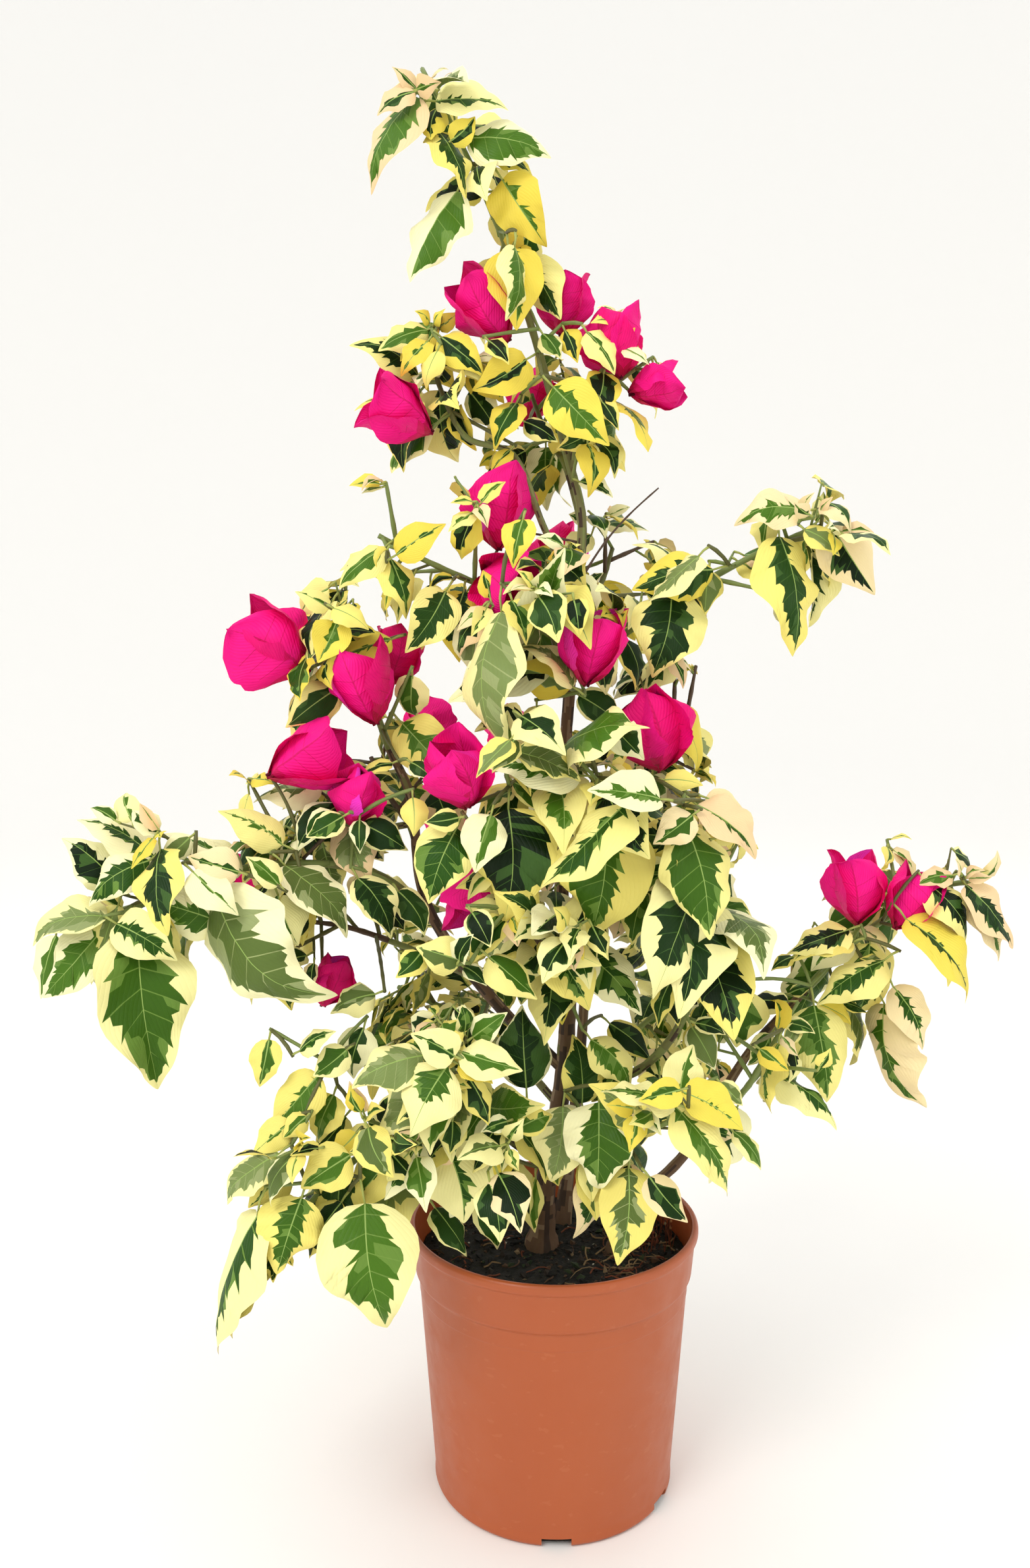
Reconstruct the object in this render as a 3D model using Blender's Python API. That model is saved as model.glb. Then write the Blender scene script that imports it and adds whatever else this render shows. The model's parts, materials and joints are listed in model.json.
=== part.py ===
"""Variegated bougainvillea in a round grower's pot.

Metres, +Z up, origin at the centre of the pot's flat underside.
The shrub's front faces -Y. Positions below are in millimetres.
"""

import math
import random

import bmesh
import bpy
from mathutils import Vector
from mathutils.bvhtree import BVHTree

MM = 0.001
GAP = 0.3

# Pot, in millimetres
POT_HEIGHT = 142.0
POT_BASE_RADIUS = 64.5
POT_RIM_RADIUS = 78.0
POT_WALL = 1.5
POT_FLOOR = 2.0
POT_COLLAR_HEIGHT = 26.0
POT_COLLAR_STEP = 1.3
POT_LIP_HEIGHT = 6.0
POT_LIP_WIDTH = 3.2
POT_FOOT_HEIGHT = 5.0
POT_SEGMENTS = 32
DRAIN_COUNT = 6
DRAIN_WIDTH = 9.0
DRAIN_HEIGHT = 3.6
DRAIN_DEPTH = 12.0

# Soil
SOIL_LEVEL = 125.0
SOIL_FLAT_RADIUS = 54.0
SOIL_EDGE_DROP = 3.0

# Foliage
GOLDEN_ANGLE = math.radians(137.5)
LEAF_WIDTH_RATIO = 0.66
LEAF_WIDEST = 0.46
LEAF_THICK_RATIO = 0.035
LEAF_FOLD_RATIO = 0.10
LEAF_ROOT = 0.4
PETIOLE_RATIO = 0.20
TWIG_RADIUS = 1.5
TWIG_TIP_RADIUS = 0.9
STALK_RADIUS = 1.0
BLOOM_FULL = 0.44
BLOOM_WIDE = 0.46
BLOOM_NARROW = 0.38
BLOOM_HIGH = 0.84
BLOOM_FOOT = 1.5
BLOOM_TURN = (-0.6, 0.6)
CLEARANCE = 0.9
SPACE_MARGIN = 9.0
SHAFT_WIDTH = 0.30
SHAFT_NEAR = 4.0
SHAFT_FAR = 70.0
SHIFTS = (0, 4, -4, 8, -8, 13, -13, 19, 26)
OWN_JOINTS = 8
FREE_FROM = 0.22
LAST_LEAF = 0.96
LEAF_SPACING = 1.15
DROOP = (0.6, 1.7)
LEAF_OUT = 0.8
LEAF_ALONG = 0.3
LEAF_TO_LIGHT = 0.25
LEAF_TILT = 0.35
YOUNG_LEAF_SHRINK = 0.40
TRIES = 22
MASS_STEM_STEPS = 4
MASS_STEM_PROBES = 12
FLARE_FALL = 14.0
BOUGH_SIDES = 5
BOUGH_STEPS = 2.6
SMALLEST_LEAF = 26.0

# Stems stand on the soil or on another stem, and carry no leaves of their own.
STEMS = {
    "main_stem": {
        "way": [(-6, 4, 0), (-3, 3, 40), (5, 2, 90), (8, 0, 136)],
        "on_soil": True, "radius": (5.8, 4.4), "flare": 4.0, "sides": 10, "steps": 9},
    "right_stem": {
        "way": [(33, -3, 0), (45, -1, 25), (73, 3, 52), (106, 8, 104), (136, 5, 140)],
        "on_soil": True, "radius": (3.4, 2.1), "flare": 2.0, "sides": 8, "steps": 9},
    "back_stem": {
        "way": [(6, 30, 0), (14, 46, 60), (20, 60, 130), (14, 64, 190)],
        "on_soil": True, "radius": (3.8, 2.2), "flare": 2.0, "sides": 8, "steps": 8},
    "centre_stem": {
        "parent": "main_stem", "at": 1.0,
        "way": [(4, 2, 320), (5, 3, 380), (9, 1, 440), (12, 0, 480)],
        "radius": (4.1, 2.8), "sides": 8, "steps": 9},
    "leader": {
        "parent": "centre_stem", "at": 1.0,
        "way": [(14, 0, 515), (7, 5, 547), (-8, 5, 600), (-18, 1, 630)],
        "radius": (2.7, 1.8), "sides": 6, "steps": 8},
    "left_stem": {
        "parent": "main_stem", "at": 0.72,
        "way": [(-25, 10, 250), (-58, 5, 293), (-71, 0, 325), (-75, -5, 369), (-86, -8, 396)],
        "radius": (3.5, 2.2), "sides": 8, "steps": 10},
}

# A branch is a bare bough up to "enter", and from there the stem of a mass of foliage.
# "blooms" are the middles of its clusters of bracts, the way each opens, where it is set, and
# its length.
BRANCHES = {
    "top": {
        "parent": "leader", "at": 1.0, "enter": 0.0, "radius": (1.7, 1.1),
        "way": [(-26, -5, 652), (-46, -14, 694), (-66, -20, 729)],
        "twigs": 2, "twig": 29, "leaf": 50, "droop": (0.9, 2.2), "spacing": 18,
        "blooms": [((-34, -10, 617), (-6, -3, 8), 40)]},
    "upper_left": {
        "parent": "centre_stem", "at": 0.97, "enter": 0.66, "radius": (1.9, 1.2),
        "way": [(-6, -8, 510), (-21, -10, 545), (-46, -6, 556), (-60, 0, 584), (-66, 4, 612)],
        "twigs": 3, "twig": 29, "leaf": 38, "spacing": 17,
        "blooms": [((-76, -20, 563), (-8, -5, 4), 40)]},
    "upper_right": {
        "parent": "leader", "at": 0.45, "enter": 0.25, "radius": (1.9, 1.2),
        "way": [(14, -4, 572), (26, -8, 592), (34, -10, 612)],
        "twigs": 4, "twig": 42, "leaf": 42, "droop": (0.9, 2.2), "spacing": 17,
        "blooms": [((5, 8, 623), (1, 0, 10), 32),
                   ((30, -8, 599), (-2, 0, 10), 36),
                   ((49, -10, 580), (9, -2, 2), 30)]},
    "left_high": {
        "parent": "centre_stem", "at": 0.90, "enter": 0.42, "radius": (2.1, 1.2),
        "way": [(-22, -8, 474), (-62, -18, 490), (-94, -28, 506)],
        "twigs": 4, "twig": 37, "leaf": 44, "droop": (0.9, 2.0), "spacing": 19,
        "blooms": [((-29, -14, 515), (0, -1, 10), 40), ((-27, -20, 481), (4, -6, -2), 42)]},
    "left_wing": {
        "parent": "left_stem", "at": 1.0, "enter": 0.0, "radius": (2.0, 1.2),
        "way": [(-96, -10, 424), (-106, -16, 448), (-114, -20, 468)],
        "twigs": 4, "twig": 40, "leaf": 40, "droop": (0.9, 2.0), "spacing": 18,
        "blooms": [((-141, -24, 447), (-8, -2, 6), 46),
                   ((-96, -30, 426), (-3, -2, 9), 40),
                   ((-84, 6, 441), (3, 2, 9), 30)]},
    "left_mid": {
        "parent": "left_stem", "at": 0.74, "enter": 0.35, "radius": (1.9, 1.2),
        "way": [(-92, -22, 356), (-112, -30, 360), (-134, -30, 352)],
        "twigs": 3, "twig": 42, "leaf": 42, "spacing": 18,
        "blooms": [((-127, -34, 391), (9, -1, 4), 43), ((-101, -34, 371), (1, -3, 9), 32)]},
    "far_left": {
        "parent": "left_stem", "at": 0.50, "enter": 0.36, "radius": (2.4, 1.3),
        "way": [(-96, -22, 334), (-143, -38, 340), (-188, -42, 328), (-222, -42, 312)],
        "twigs": 3, "twig": 48, "leaf": 68, "droop": (1.0, 2.4), "spacing": 23, "blooms": []},
    "left_low": {
        "parent": "left_stem", "at": 0.30, "enter": 0.45, "radius": (2.1, 1.2),
        "way": [(-78, 22, 284), (-112, 22, 296), (-138, 12, 302)],
        "twigs": 4, "twig": 40, "leaf": 42, "spacing": 19,
        "blooms": [((-161, 0, 322), (-2, 0, 8), 30), ((-119, -6, 271), (3, 0, 9), 28)]},
    "front_high": {
        "parent": "centre_stem", "at": 0.70, "enter": 0.40, "radius": (2.1, 1.2),
        "way": [(4, -26, 436), (-4, -44, 458), (-10, -52, 474)],
        "twigs": 4, "twig": 42, "leaf": 50, "spacing": 18,
        "blooms": [((15, -62, 444), (1, -4, 9), 39)]},
    "front_mid": {
        "parent": "centre_stem", "at": 0.42, "enter": 0.40, "radius": (2.3, 1.3),
        "way": [(-10, -28, 376), (-6, -56, 396), (12, -72, 402)],
        "twigs": 3, "twig": 44, "leaf": 62, "spacing": 20,
        "blooms": [((-47, -62, 385), (-2, -4, 9), 38)]},
    "front_right": {
        "parent": "main_stem", "at": 0.62, "enter": 0.72, "radius": (2.5, 1.4),
        "way": [(44, -26, 232), (66, -40, 268), (68, -46, 312), (74, -56, 372)],
        "twigs": 4, "twig": 42, "leaf": 60, "droop": (1.1, 2.4), "spacing": 20,
        "blooms": [((47, -44, 405), (-2, -3, 9), 45)]},
    "right_high": {
        "parent": "centre_stem", "at": 0.78, "enter": 0.30, "radius": (2.1, 1.2),
        "way": [(30, -12, 452), (62, -25, 474), (104, -35, 496), (128, -40, 506)],
        "twigs": 3, "twig": 44, "leaf": 54, "droop": (1.0, 2.4), "spacing": 23, "blooms": []},
    "right_mid": {
        "parent": "centre_stem", "at": 0.56, "enter": 0.40, "radius": (2.1, 1.2),
        "way": [(30, 4, 396), (58, 4, 412), (80, 0, 420)],
        "twigs": 4, "twig": 40, "leaf": 44, "droop": (1.0, 2.2), "spacing": 19, "blooms": []},
    "core_front": {
        "parent": "centre_stem", "at": 0.10, "enter": 0.35, "radius": (2.1, 1.2),
        "way": [(2, -24, 286), (-10, -46, 304), (-24, -62, 322)],
        "twigs": 4, "twig": 46, "leaf": 44, "spacing": 18,
        "blooms": [((-43, -24, 323), (1, -4, -8), 34)]},
    "core_right": {
        "parent": "centre_stem", "at": 0.22, "enter": 0.40, "radius": (2.1, 1.2),
        "way": [(30, -8, 312), (56, -8, 328), (86, -8, 334)],
        "twigs": 4, "twig": 42, "leaf": 42, "spacing": 18, "blooms": []},
    "low_front_left": {
        "parent": "main_stem", "at": 0.52, "enter": 0.38, "radius": (2.3, 1.3),
        "way": [(-18, -28, 200), (-40, -56, 224), (-54, -84, 246)],
        "twigs": 4, "twig": 51, "leaf": 48, "spacing": 18, "blooms": []},
    "low_front_right": {
        "parent": "main_stem", "at": 0.40, "enter": 0.38, "radius": (2.3, 1.3),
        "way": [(16, -28, 186), (36, -54, 206), (52, -80, 224)],
        "twigs": 5, "twig": 48, "leaf": 48, "droop": (0.8, 2.0), "spacing": 18, "blooms": []},
    "low_left": {
        "parent": "main_stem", "at": 0.34, "enter": 0.42, "radius": (2.5, 1.3),
        "way": [(-34, -22, 198), (-78, -48, 206), (-112, -68, 188), (-134, -74, 160)],
        "twigs": 4, "twig": 51, "leaf": 56, "droop": (0.9, 2.2), "spacing": 19, "blooms": []},
    "far_right": {
        "parent": "right_stem", "at": 1.0, "enter": 0.0, "radius": (2.1, 1.2),
        "way": [(160, 2, 292), (190, 0, 314), (210, -2, 324), (226, -4, 325)],
        "twigs": 3, "twig": 44, "leaf": 50, "droop": (1.0, 2.4), "spacing": 20,
        "blooms": [((158, -8, 320), (-1, -1, 10), 40), ((185, -14, 316), (5, 0, 8), 36)]},
    "right_low": {
        "parent": "right_stem", "at": 0.62, "enter": 0.30, "radius": (1.9, 1.2),
        "way": [(96, -22, 216), (104, -34, 236), (112, -42, 256)],
        "twigs": 4, "twig": 44, "leaf": 46, "spacing": 19, "blooms": []},
    "back_low_left": {
        "parent": "main_stem", "at": 0.58, "enter": 0.42, "radius": (2.3, 1.3),
        "way": [(-26, 30, 226), (-62, 60, 240), (-92, 82, 248)],
        "twigs": 4, "twig": 51, "leaf": 50, "spacing": 19, "blooms": [((-60, 104, 330), None, 38)]},
    "back_low_right": {
        "parent": "back_stem", "at": 0.42, "enter": 0.40, "radius": (2.1, 1.3),
        "way": [(44, 70, 218), (72, 84, 236), (94, 88, 250)],
        "twigs": 4, "twig": 51, "leaf": 50, "spacing": 19, "blooms": [((70, 118, 286), None, 38)]},
    "back_mid": {
        "parent": "back_stem", "at": 1.0, "enter": 0.0, "radius": (2.1, 1.2),
        "way": [(4, 70, 344), (-8, 78, 376), (-14, 80, 402)],
        "twigs": 4, "twig": 51, "leaf": 48, "spacing": 19,
        "blooms": [((-22, 114, 392), None, 38)]},
    "back_left": {
        "parent": "left_stem", "at": 0.58, "enter": 0.40, "radius": (2.0, 1.2),
        "way": [(-78, 26, 350), (-96, 48, 372), (-106, 62, 394)],
        "twigs": 4, "twig": 46, "leaf": 46, "spacing": 19, "blooms": [((-72, 88, 402), None, 36)]},
    "back_right": {
        "parent": "centre_stem", "at": 0.34, "enter": 0.46, "radius": (2.0, 1.2),
        "way": [(26, 28, 346), (50, 46, 364), (64, 56, 382)],
        "twigs": 4, "twig": 46, "leaf": 48, "spacing": 19, "blooms": [((66, 92, 404), None, 38)]},
    "back_high": {
        "parent": "centre_stem", "at": 0.84, "enter": 0.42, "radius": (2.0, 1.2),
        "way": [(18, 22, 470), (28, 40, 488), (34, 50, 506)],
        "twigs": 4, "twig": 42, "leaf": 44, "spacing": 19, "blooms": [((4, 84, 506), None, 36)]},
    "back_top": {
        "parent": "leader", "at": 0.22, "enter": 0.40, "radius": (1.8, 1.1),
        "way": [(6, 20, 546), (-4, 32, 566), (-12, 36, 588)],
        "twigs": 4, "twig": 37, "leaf": 40, "spacing": 18, "blooms": [((-14, 64, 590), None, 36)]},
}

# Leaves with a place of their own: blade foot, tip, width, and the way the upper side faces.
PLACED = {
    "top": [
        (-69, -29, 712, -94, -32, 669, 31, -5, -8, 3),
        (-59, -28, 710, -24, -31, 708, 22, -1, -9, 4), (-44, -25, 694, -3, -28, 686, 26, 0, -9, 3),
        (-58, -26, 697, -43, -34, 664, 23, 5, -8, 4),
        (-27, -20, 677, -6, -23, 645, 26, -2, -10, -1),
        (-49, -21, 671, -73, -24, 627, 31, -5, -8, 3),
        (-24, -14, 646, -20, -17, 606, 28, 0, -10, 1), (-21, -26, 643, -23, -29, 607, 22, 9, -5, 0)],
    "upper_right": [
        (-2, -29, 575, 25, -37, 545, 25, -3, -10, 0),
        (-15, -15, 592, -42, -18, 576, 21, 2, -10, -2)],
    "left_high": [
        (-55, -34, 475, -74, -42, 445, 23, 2, -10, 1), (-82, -34, 491, -72, -42, 463, 19, 4, -8, 4)],
    "left_wing": [
        (-111, -24, 427, -135, -32, 408, 20, 3, -10, 1),
        (-83, -21, 452, -115, -24, 440, 21, -2, -8, 6)],
    "left_mid": [
        (-133, -50, 341, -99, -53, 310, 29, 6, -4, 7), (-99, -39, 333, -81, -47, 305, 22, 4, -7, 5),
        (-136, -40, 350, -167, -43, 367, 22, 4, -7, 6)],
    "far_left": [
        (-202, -62, 309, -189, -76, 238, 46, 5, -8, 3),
        (-219, -58, 312, -248, -64, 279, 27, -1, -10, 2),
        (-245, -52, 307, -252, -55, 276, 20, -3, -9, 2),
        (-220, -52, 316, -257, -55, 306, 24, -2, -5, 8),
        (-211, -64, 315, -182, -67, 298, 21, 1, -9, 4),
        (-196, -60, 345, -224, -68, 325, 22, 0, -9, 4),
        (-194, -52, 343, -232, -55, 365, 27, 5, -5, 7),
        (-160, -59, 314, -196, -62, 326, 25, 2, -10, 2),
        (-155, -44, 337, -194, -47, 358, 27, 5, -4, 8),
        (-163, -67, 333, -111, -81, 279, 47, -4, -9, -2),
        (-188, -56, 323, -154, -59, 305, 24, 4, -5, 8)],
    "front_high": [
        (-27, -65, 463, -28, -71, 398, 41, -8, -5, 1), (7, -46, 428, -23, -49, 438, 21, 1, -10, 0),
        (7, -50, 428, -21, -53, 449, 22, 5, -6, 6)],
    "front_mid": [
        (-24, -46, 368, -26, -54, 314, 39, 0, -10, 1), (10, -48, 385, -32, -51, 390, 27, 1, -7, 7),
        (23, -60, 362, 15, -68, 309, 45, -1, -10, 2), (29, -92, 375, -9, -98, 337, 33, -5, -6, 6),
        (-21, -57, 397, 10, -60, 383, 21, 3, -5, 8)],
    "front_right": [
        (45, -88, 377, 12, -91, 381, 20, 2, -8, 6), (59, -78, 363, 68, -88, 312, 33, 3, -9, 2),
        (64, -74, 373, 92, -82, 351, 22, 3, -7, 6)],
    "right_high": [
        (106, -48, 500, 114, -56, 443, 36, 5, -9, 2), (131, -48, 505, 152, -51, 472, 25, 0, -10, 1),
        (118, -47, 512, 85, -50, 508, 21, 0, -9, 5), (76, -40, 485, 36, -43, 475, 25, 0, -9, 4),
        (56, -38, 473, 46, -46, 434, 35, -1, -10, 2), (68, -45, 491, 43, -48, 468, 22, -5, -6, 7)],
    "right_mid": [
        (60, -2, 419, 78, -5, 386, 23, 5, -8, 4)],
    "core_front": [
        (17, -45, 253, 38, -53, 229, 21, 4, -7, 6), (-33, -73, 301, -10, -81, 283, 19, 2, -8, 6),
        (-48, -70, 362, -61, -78, 327, 27, 1, -10, 2)],
    "low_front_left": [
        (-51, -106, 259, -67, -118, 231, 27, 1, -9, 4),
        (-62, -100, 262, -94, -108, 251, 22, -1, -7, 7),
        (-21, -47, 209, -4, -55, 184, 19, 6, -6, 6), (-15, -45, 228, -17, -35, 268, 28, 0, -10, 2)],
    "low_front_right": [
        (13, -41, 219, 10, -33, 252, 21, 4, -9, 3), (3, -51, 221, -3, -61, 186, 28, 0, -10, 3),
        (20, -62, 227, 19, -70, 186, 33, -1, -10, 2), (52, -100, 238, 78, -108, 201, 28, 5, -7, 5),
        (56, -94, 243, 83, -97, 226, 20, 3, -7, 7), (51, -100, 239, 18, -103, 247, 21, 2, -3, 9)],
    "low_left": [
        (-91, -86, 187, -79, -98, 130, 45, 2, -10, 2),
        (-120, -89, 191, -130, -99, 159, 30, 1, -10, 3),
        (-141, -87, 182, -162, -90, 115, 44, -8, -6, 3),
        (-103, -78, 184, -121, -81, 158, 19, -5, -7, 4),
        (-132, -79, 208, -160, -82, 187, 21, -4, -6, 7),
        (-115, -66, 242, -139, -69, 214, 23, -3, -9, 3),
        (-80, -76, 206, -101, -79, 183, 20, -1, -10, 2),
        (-54, -64, 206, -45, -74, 171, 34, 1, -10, 3)],
    "far_right": [
        (135, -17, 263, 142, -27, 214, 32, 2, -10, 2), (182, -17, 308, 215, -25, 268, 33, 5, -7, 5),
        (192, -17, 327, 213, -25, 298, 23, 3, -8, 5), (213, -15, 326, 238, -18, 293, 26, 5, -8, 4),
        (217, -9, 321, 234, -17, 287, 24, 5, -7, 4), (153, -14, 302, 120, -17, 291, 22, -2, -6, 8),
        (154, -20, 297, 122, -23, 288, 21, -2, -5, 9),
        (170, -22, 288, 134, -25, 265, 26, -5, -4, 8),
        (175, -7, 261, 197, -10, 205, 37, -9, -4, -3),
        (177, -14, 272, 193, -17, 239, 22, 2, -10, 2)],
    "right_low": [
        (110, -48, 252, 101, -56, 220, 21, -9, -4, 3)],
}

# Gaps in the crown that stay open, as the viewer sees them: across, down and radius, in
# thousandths of the distance ahead.
OPENINGS = [
    (83, -187, 22), (166, -219, 25), (189, -148, 25), (197, -105, 27), (170, -73, 25),
    (189, -37, 24), (288, -148, 24), (221, -97, 19), (205, 81, 24), (237, 300, 30), (128, 315, 19),
    (118, -385, 16), (136, -363, 11), (136, -298, 17), (59, -418, 14), (39, -452, 12),
    (-81, -517, 22), (-125, -584, 14), (-57, -615, 9), (-46, -472, 13), (-75, -262, 19),
    (-130, -217, 21), (-120, -168, 13), (-138, -39, 22), (-259, 8, 24), (-141, 128, 28),
    (-109, 160, 13), (-241, 152, 14), (-174, 440, 33), (-264, 405, 14), (343, 152, 17),
    (317, 227, 13), (409, 140, 16), (186, 231, 11), (-95, -407, 11), (-63, -93, 16),
    (-63, -195, 11),
    (83, -424, 21), (118, -434, 24), (178, -251, 24), (159, -116, 17), (202, 2, 19), (218, 27, 16),
    (-106, -238, 13), (-197, -156, 11)
]

UP = Vector((0, 0, 1))
FRONT = Vector((0, -1, 0))
VIEWER = Vector((-20.7, -624.4, 425.0))
VIEW_PITCH = math.radians(4.38)


# Curves

def smooth_point(points, fraction):
    """A point on the smooth curve through the given points."""
    spans = len(points) - 1
    place = min(max(fraction, 0.0), 1.0) * spans
    index = min(int(place), spans - 1)
    t = place - index
    b = points[index]
    c = points[index + 1]
    a = points[index - 1] if index > 0 else b * 2 - c
    d = points[index + 2] if index + 2 <= spans else c * 2 - b
    return 0.5 * (b * 2 + (c - a) * t + (a * 2 - b * 5 + c * 4 - d) * t ** 2
                  + (b * 3 - a - c * 3 + d) * t ** 3)


def resample(points, steps, start=0.0, end=1.0):
    """Evenly stepped points along a part of the smooth curve."""
    return [smooth_point(points, start + (end - start) * i / steps) for i in range(steps + 1)]


def direction_at(points, fraction):
    step = 0.02
    ahead = smooth_point(points, fraction + step)
    behind = smooth_point(points, fraction - step)
    return (ahead - behind).normalized()


def across(axis, hint):
    """The part of a hint that lies square to an axis, as a unit vector."""
    flat = hint - axis * hint.dot(axis)
    if flat.length < 1e-4:
        flat = axis.orthogonal()
    return flat.normalized()


# Plain solids, as (points, faces)

def tube(points, radii, sides, foot_axis=None):
    """A tapering limb with flat ends; its foot can be cut square to a given axis."""
    verts = []
    faces = []
    side_axis = across((points[1] - points[0]).normalized(), Vector((1, 0.3, 0)))
    for i, centre in enumerate(points):
        before = points[max(i - 1, 0)]
        after = points[min(i + 1, len(points) - 1)]
        axis = (after - before).normalized()
        if i == 0 and foot_axis:
            axis = foot_axis
        side_axis = across(axis, side_axis)
        other_axis = axis.cross(side_axis)
        for k in range(sides):
            angle = 2 * math.pi * k / sides
            spoke = side_axis * math.cos(angle) + other_axis * math.sin(angle)
            verts.append(centre + spoke * radii[i])
    for i in range(len(points) - 1):
        for k in range(sides):
            a = i * sides + k
            b = i * sides + (k + 1) % sides
            faces.append((a, b, b + sides, a + sides))
    last = (len(points) - 1) * sides
    faces.append(tuple(reversed(range(sides))))
    faces.append(tuple(last + k for k in range(sides)))
    return verts, faces


def blade(base, tip, facing, width, thick, fold, widest):
    """A folded leaf of eight faces; its base runs back into the twig."""
    axis = (tip - base).normalized()
    normal = across(axis, facing)
    side = axis.cross(normal)
    middle = base.lerp(tip, widest)
    spine = base.lerp(tip, widest * 0.6)
    verts = [base, tip,
             middle + side * width / 2 + normal * fold,
             middle - side * width / 2 + normal * fold,
             spine + normal * thick,
             spine - normal * thick]
    faces = [(0, 2, 4), (2, 1, 4), (1, 3, 4), (3, 0, 4),
             (2, 0, 5), (1, 2, 5), (3, 1, 5), (0, 3, 5)]
    return verts, faces


def limb_solid(limb):
    return tube(limb["points"], limb["radii"], limb["sides"], limb["foot_axis"])


def leaf_solid(leaf, start=None):
    """The whole leaf, or only what lies beyond a start along its axis."""
    root = leaf["base"] + leaf["axis"] * (-LEAF_ROOT if start is None else start)
    total = leaf["length"] * (1 + PETIOLE_RATIO)
    tip = leaf["base"] + leaf["axis"] * total
    return blade(root, tip, leaf["facing"], leaf["width"], total * LEAF_THICK_RATIO,
                 total * LEAF_FOLD_RATIO, LEAF_WIDEST)


def leaf_probes(solid):
    """Points all over a leaf: its corners and some in between."""
    base, tip, left, right, upper = solid[0][:5]
    return solid[0] + [(base + upper) / 2, (tip + upper) / 2, (tip + left) / 2, (tip + right) / 2]


def grown(solid, amount):
    """The same solid, moved outward from its middle, for the clearance test."""
    verts, faces = solid
    middle = sum(verts, Vector()) / len(verts)
    return [v + (v - middle).normalized() * amount for v in verts], faces


def tree_of(solid):
    return BVHTree.FromPolygons(solid[0], solid[1])


# The growth rule

def light_from(place):
    """The way a leaf at this place turns its upper side."""
    outward = Vector((place.x, place.y, 0))
    outward = outward.normalized() if outward.length > 1 else FRONT
    front = FRONT * 0.8 if place.y < 30 else FRONT * -0.3
    return UP * 0.75 + outward * 0.5 + front


class Crown:
    """What has grown so far, so that nothing new touches it."""

    def __init__(self):
        self.things = []
        self.stems = {}
        self.shafts = []

    def add(self, owner, solid):
        verts = solid[0]
        low = Vector([min(v[i] for v in verts) for i in range(3)])
        high = Vector([max(v[i] for v in verts) for i in range(3)])
        self.things.append((owner, low, high, tree_of(solid)))

    def touches(self, owner, solid, own=False):
        """Whether a solid comes near what others own, or near what its own mass has."""
        fat = grown(solid, CLEARANCE)
        low = [min(v[i] for v in fat[0]) for i in range(3)]
        high = [max(v[i] for v in fat[0]) for i in range(3)]
        fat_tree = None
        for other, other_low, other_high, other_tree in self.things:
            if (other == owner) != own:
                continue
            if any(low[i] > other_high[i] or high[i] < other_low[i] for i in range(3)):
                continue
            if fat_tree is None:
                fat_tree = tree_of(fat)
            if fat_tree.overlap(other_tree):
                return True
        return False

    def add_shaft(self, middle, width):
        """Keeps the way open between a leaf and the side it is seen from."""
        towards = (VIEWER - middle).normalized()
        ends = (middle + towards * SHAFT_NEAR, middle + towards * SHAFT_FAR)
        self.shafts.append(tree_of(tube(ends, (width, width), 6)))

    def shades(self, solid):
        shape = tree_of(solid)
        return any(shape.overlap(shaft) for shaft in self.shafts)

    def in_opening(self, places):
        ahead = Vector((0, math.cos(VIEW_PITCH), -math.sin(VIEW_PITCH)))
        down = Vector((0, -math.sin(VIEW_PITCH), -math.cos(VIEW_PITCH)))
        for place in places:
            way = (place - VIEWER) * (1000 / (place - VIEWER).dot(ahead))
            for across_view, down_view, radius in OPENINGS:
                if math.hypot(way.x - across_view, way.dot(down) - down_view) < radius:
                    return True
        return False

    def distance(self, name, place):
        return min((place - p).length for p in self.stems[name])

    def in_space(self, owner, places):
        """True where each place is nearer this mass's stem than any other mass's."""
        for place in places:
            own = self.distance(owner, place)
            for other in self.stems:
                if other != owner and self.distance(other, place) + SPACE_MARGIN < own:
                    return False
        return True


def as_vectors(points):
    return [Vector(p) for p in points]


def stem_curve(name, curves):
    spec = STEMS.get(name) or BRANCHES[name]
    points = as_vectors(spec["way"])
    if spec.get("on_soil"):
        lift = Vector((0, 0, SOIL_LEVEL + GAP))
        return [p + lift for p in points]
    start = smooth_point(curves[spec["parent"]], spec["at"])
    if spec["at"] == 1.0:
        start += direction_at(curves[spec["parent"]], 1.0) * GAP
    return [start] + points


def limb_radii(spec, steps, start, end):
    first, last = spec["radius"]
    radii = []
    for i in range(steps + 1):
        t = start + (end - start) * i / steps
        flare = spec.get("flare", 0.0) * math.exp(-t * FLARE_FALL)
        radii.append(first + (last - first) * t + flare)
    return radii


def twig_curve(stem, at, turn, spread, length, rng):
    """A twig that leaves its stem sideways and lifts a little towards its tip."""
    start = smooth_point(stem, at)
    axis = direction_at(stem, at)
    side = across(axis, Vector((1, 0.2, 0.1)))
    out = side * math.cos(turn) + axis.cross(side) * math.sin(turn)
    heading = axis * math.cos(spread) + out * math.sin(spread)
    lift = UP * length * rng.uniform(0.02, 0.22)
    return [start, start + heading * length + lift]


def leaf_at(shoot, at, turn, length, droop, rng):
    """A leaf on its stalk: it stands out from the shoot and hangs towards its tip."""
    base = smooth_point(shoot, at)
    along = direction_at(shoot, at)
    side = across(along, Vector((1, 0.2, 0.1)))
    out = side * math.cos(turn) + along.cross(side) * math.sin(turn)
    facing = light_from(base)
    axis = out * LEAF_OUT + along * LEAF_ALONG + facing * LEAF_TO_LIGHT - UP * droop
    axis = axis.normalized()
    facing = facing + Vector([rng.uniform(-LEAF_TILT, LEAF_TILT) for _ in range(3)])
    return {"base": base, "axis": axis, "facing": facing, "length": length,
            "width": length * LEAF_WIDTH_RATIO * rng.uniform(0.9, 1.12)}


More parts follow.
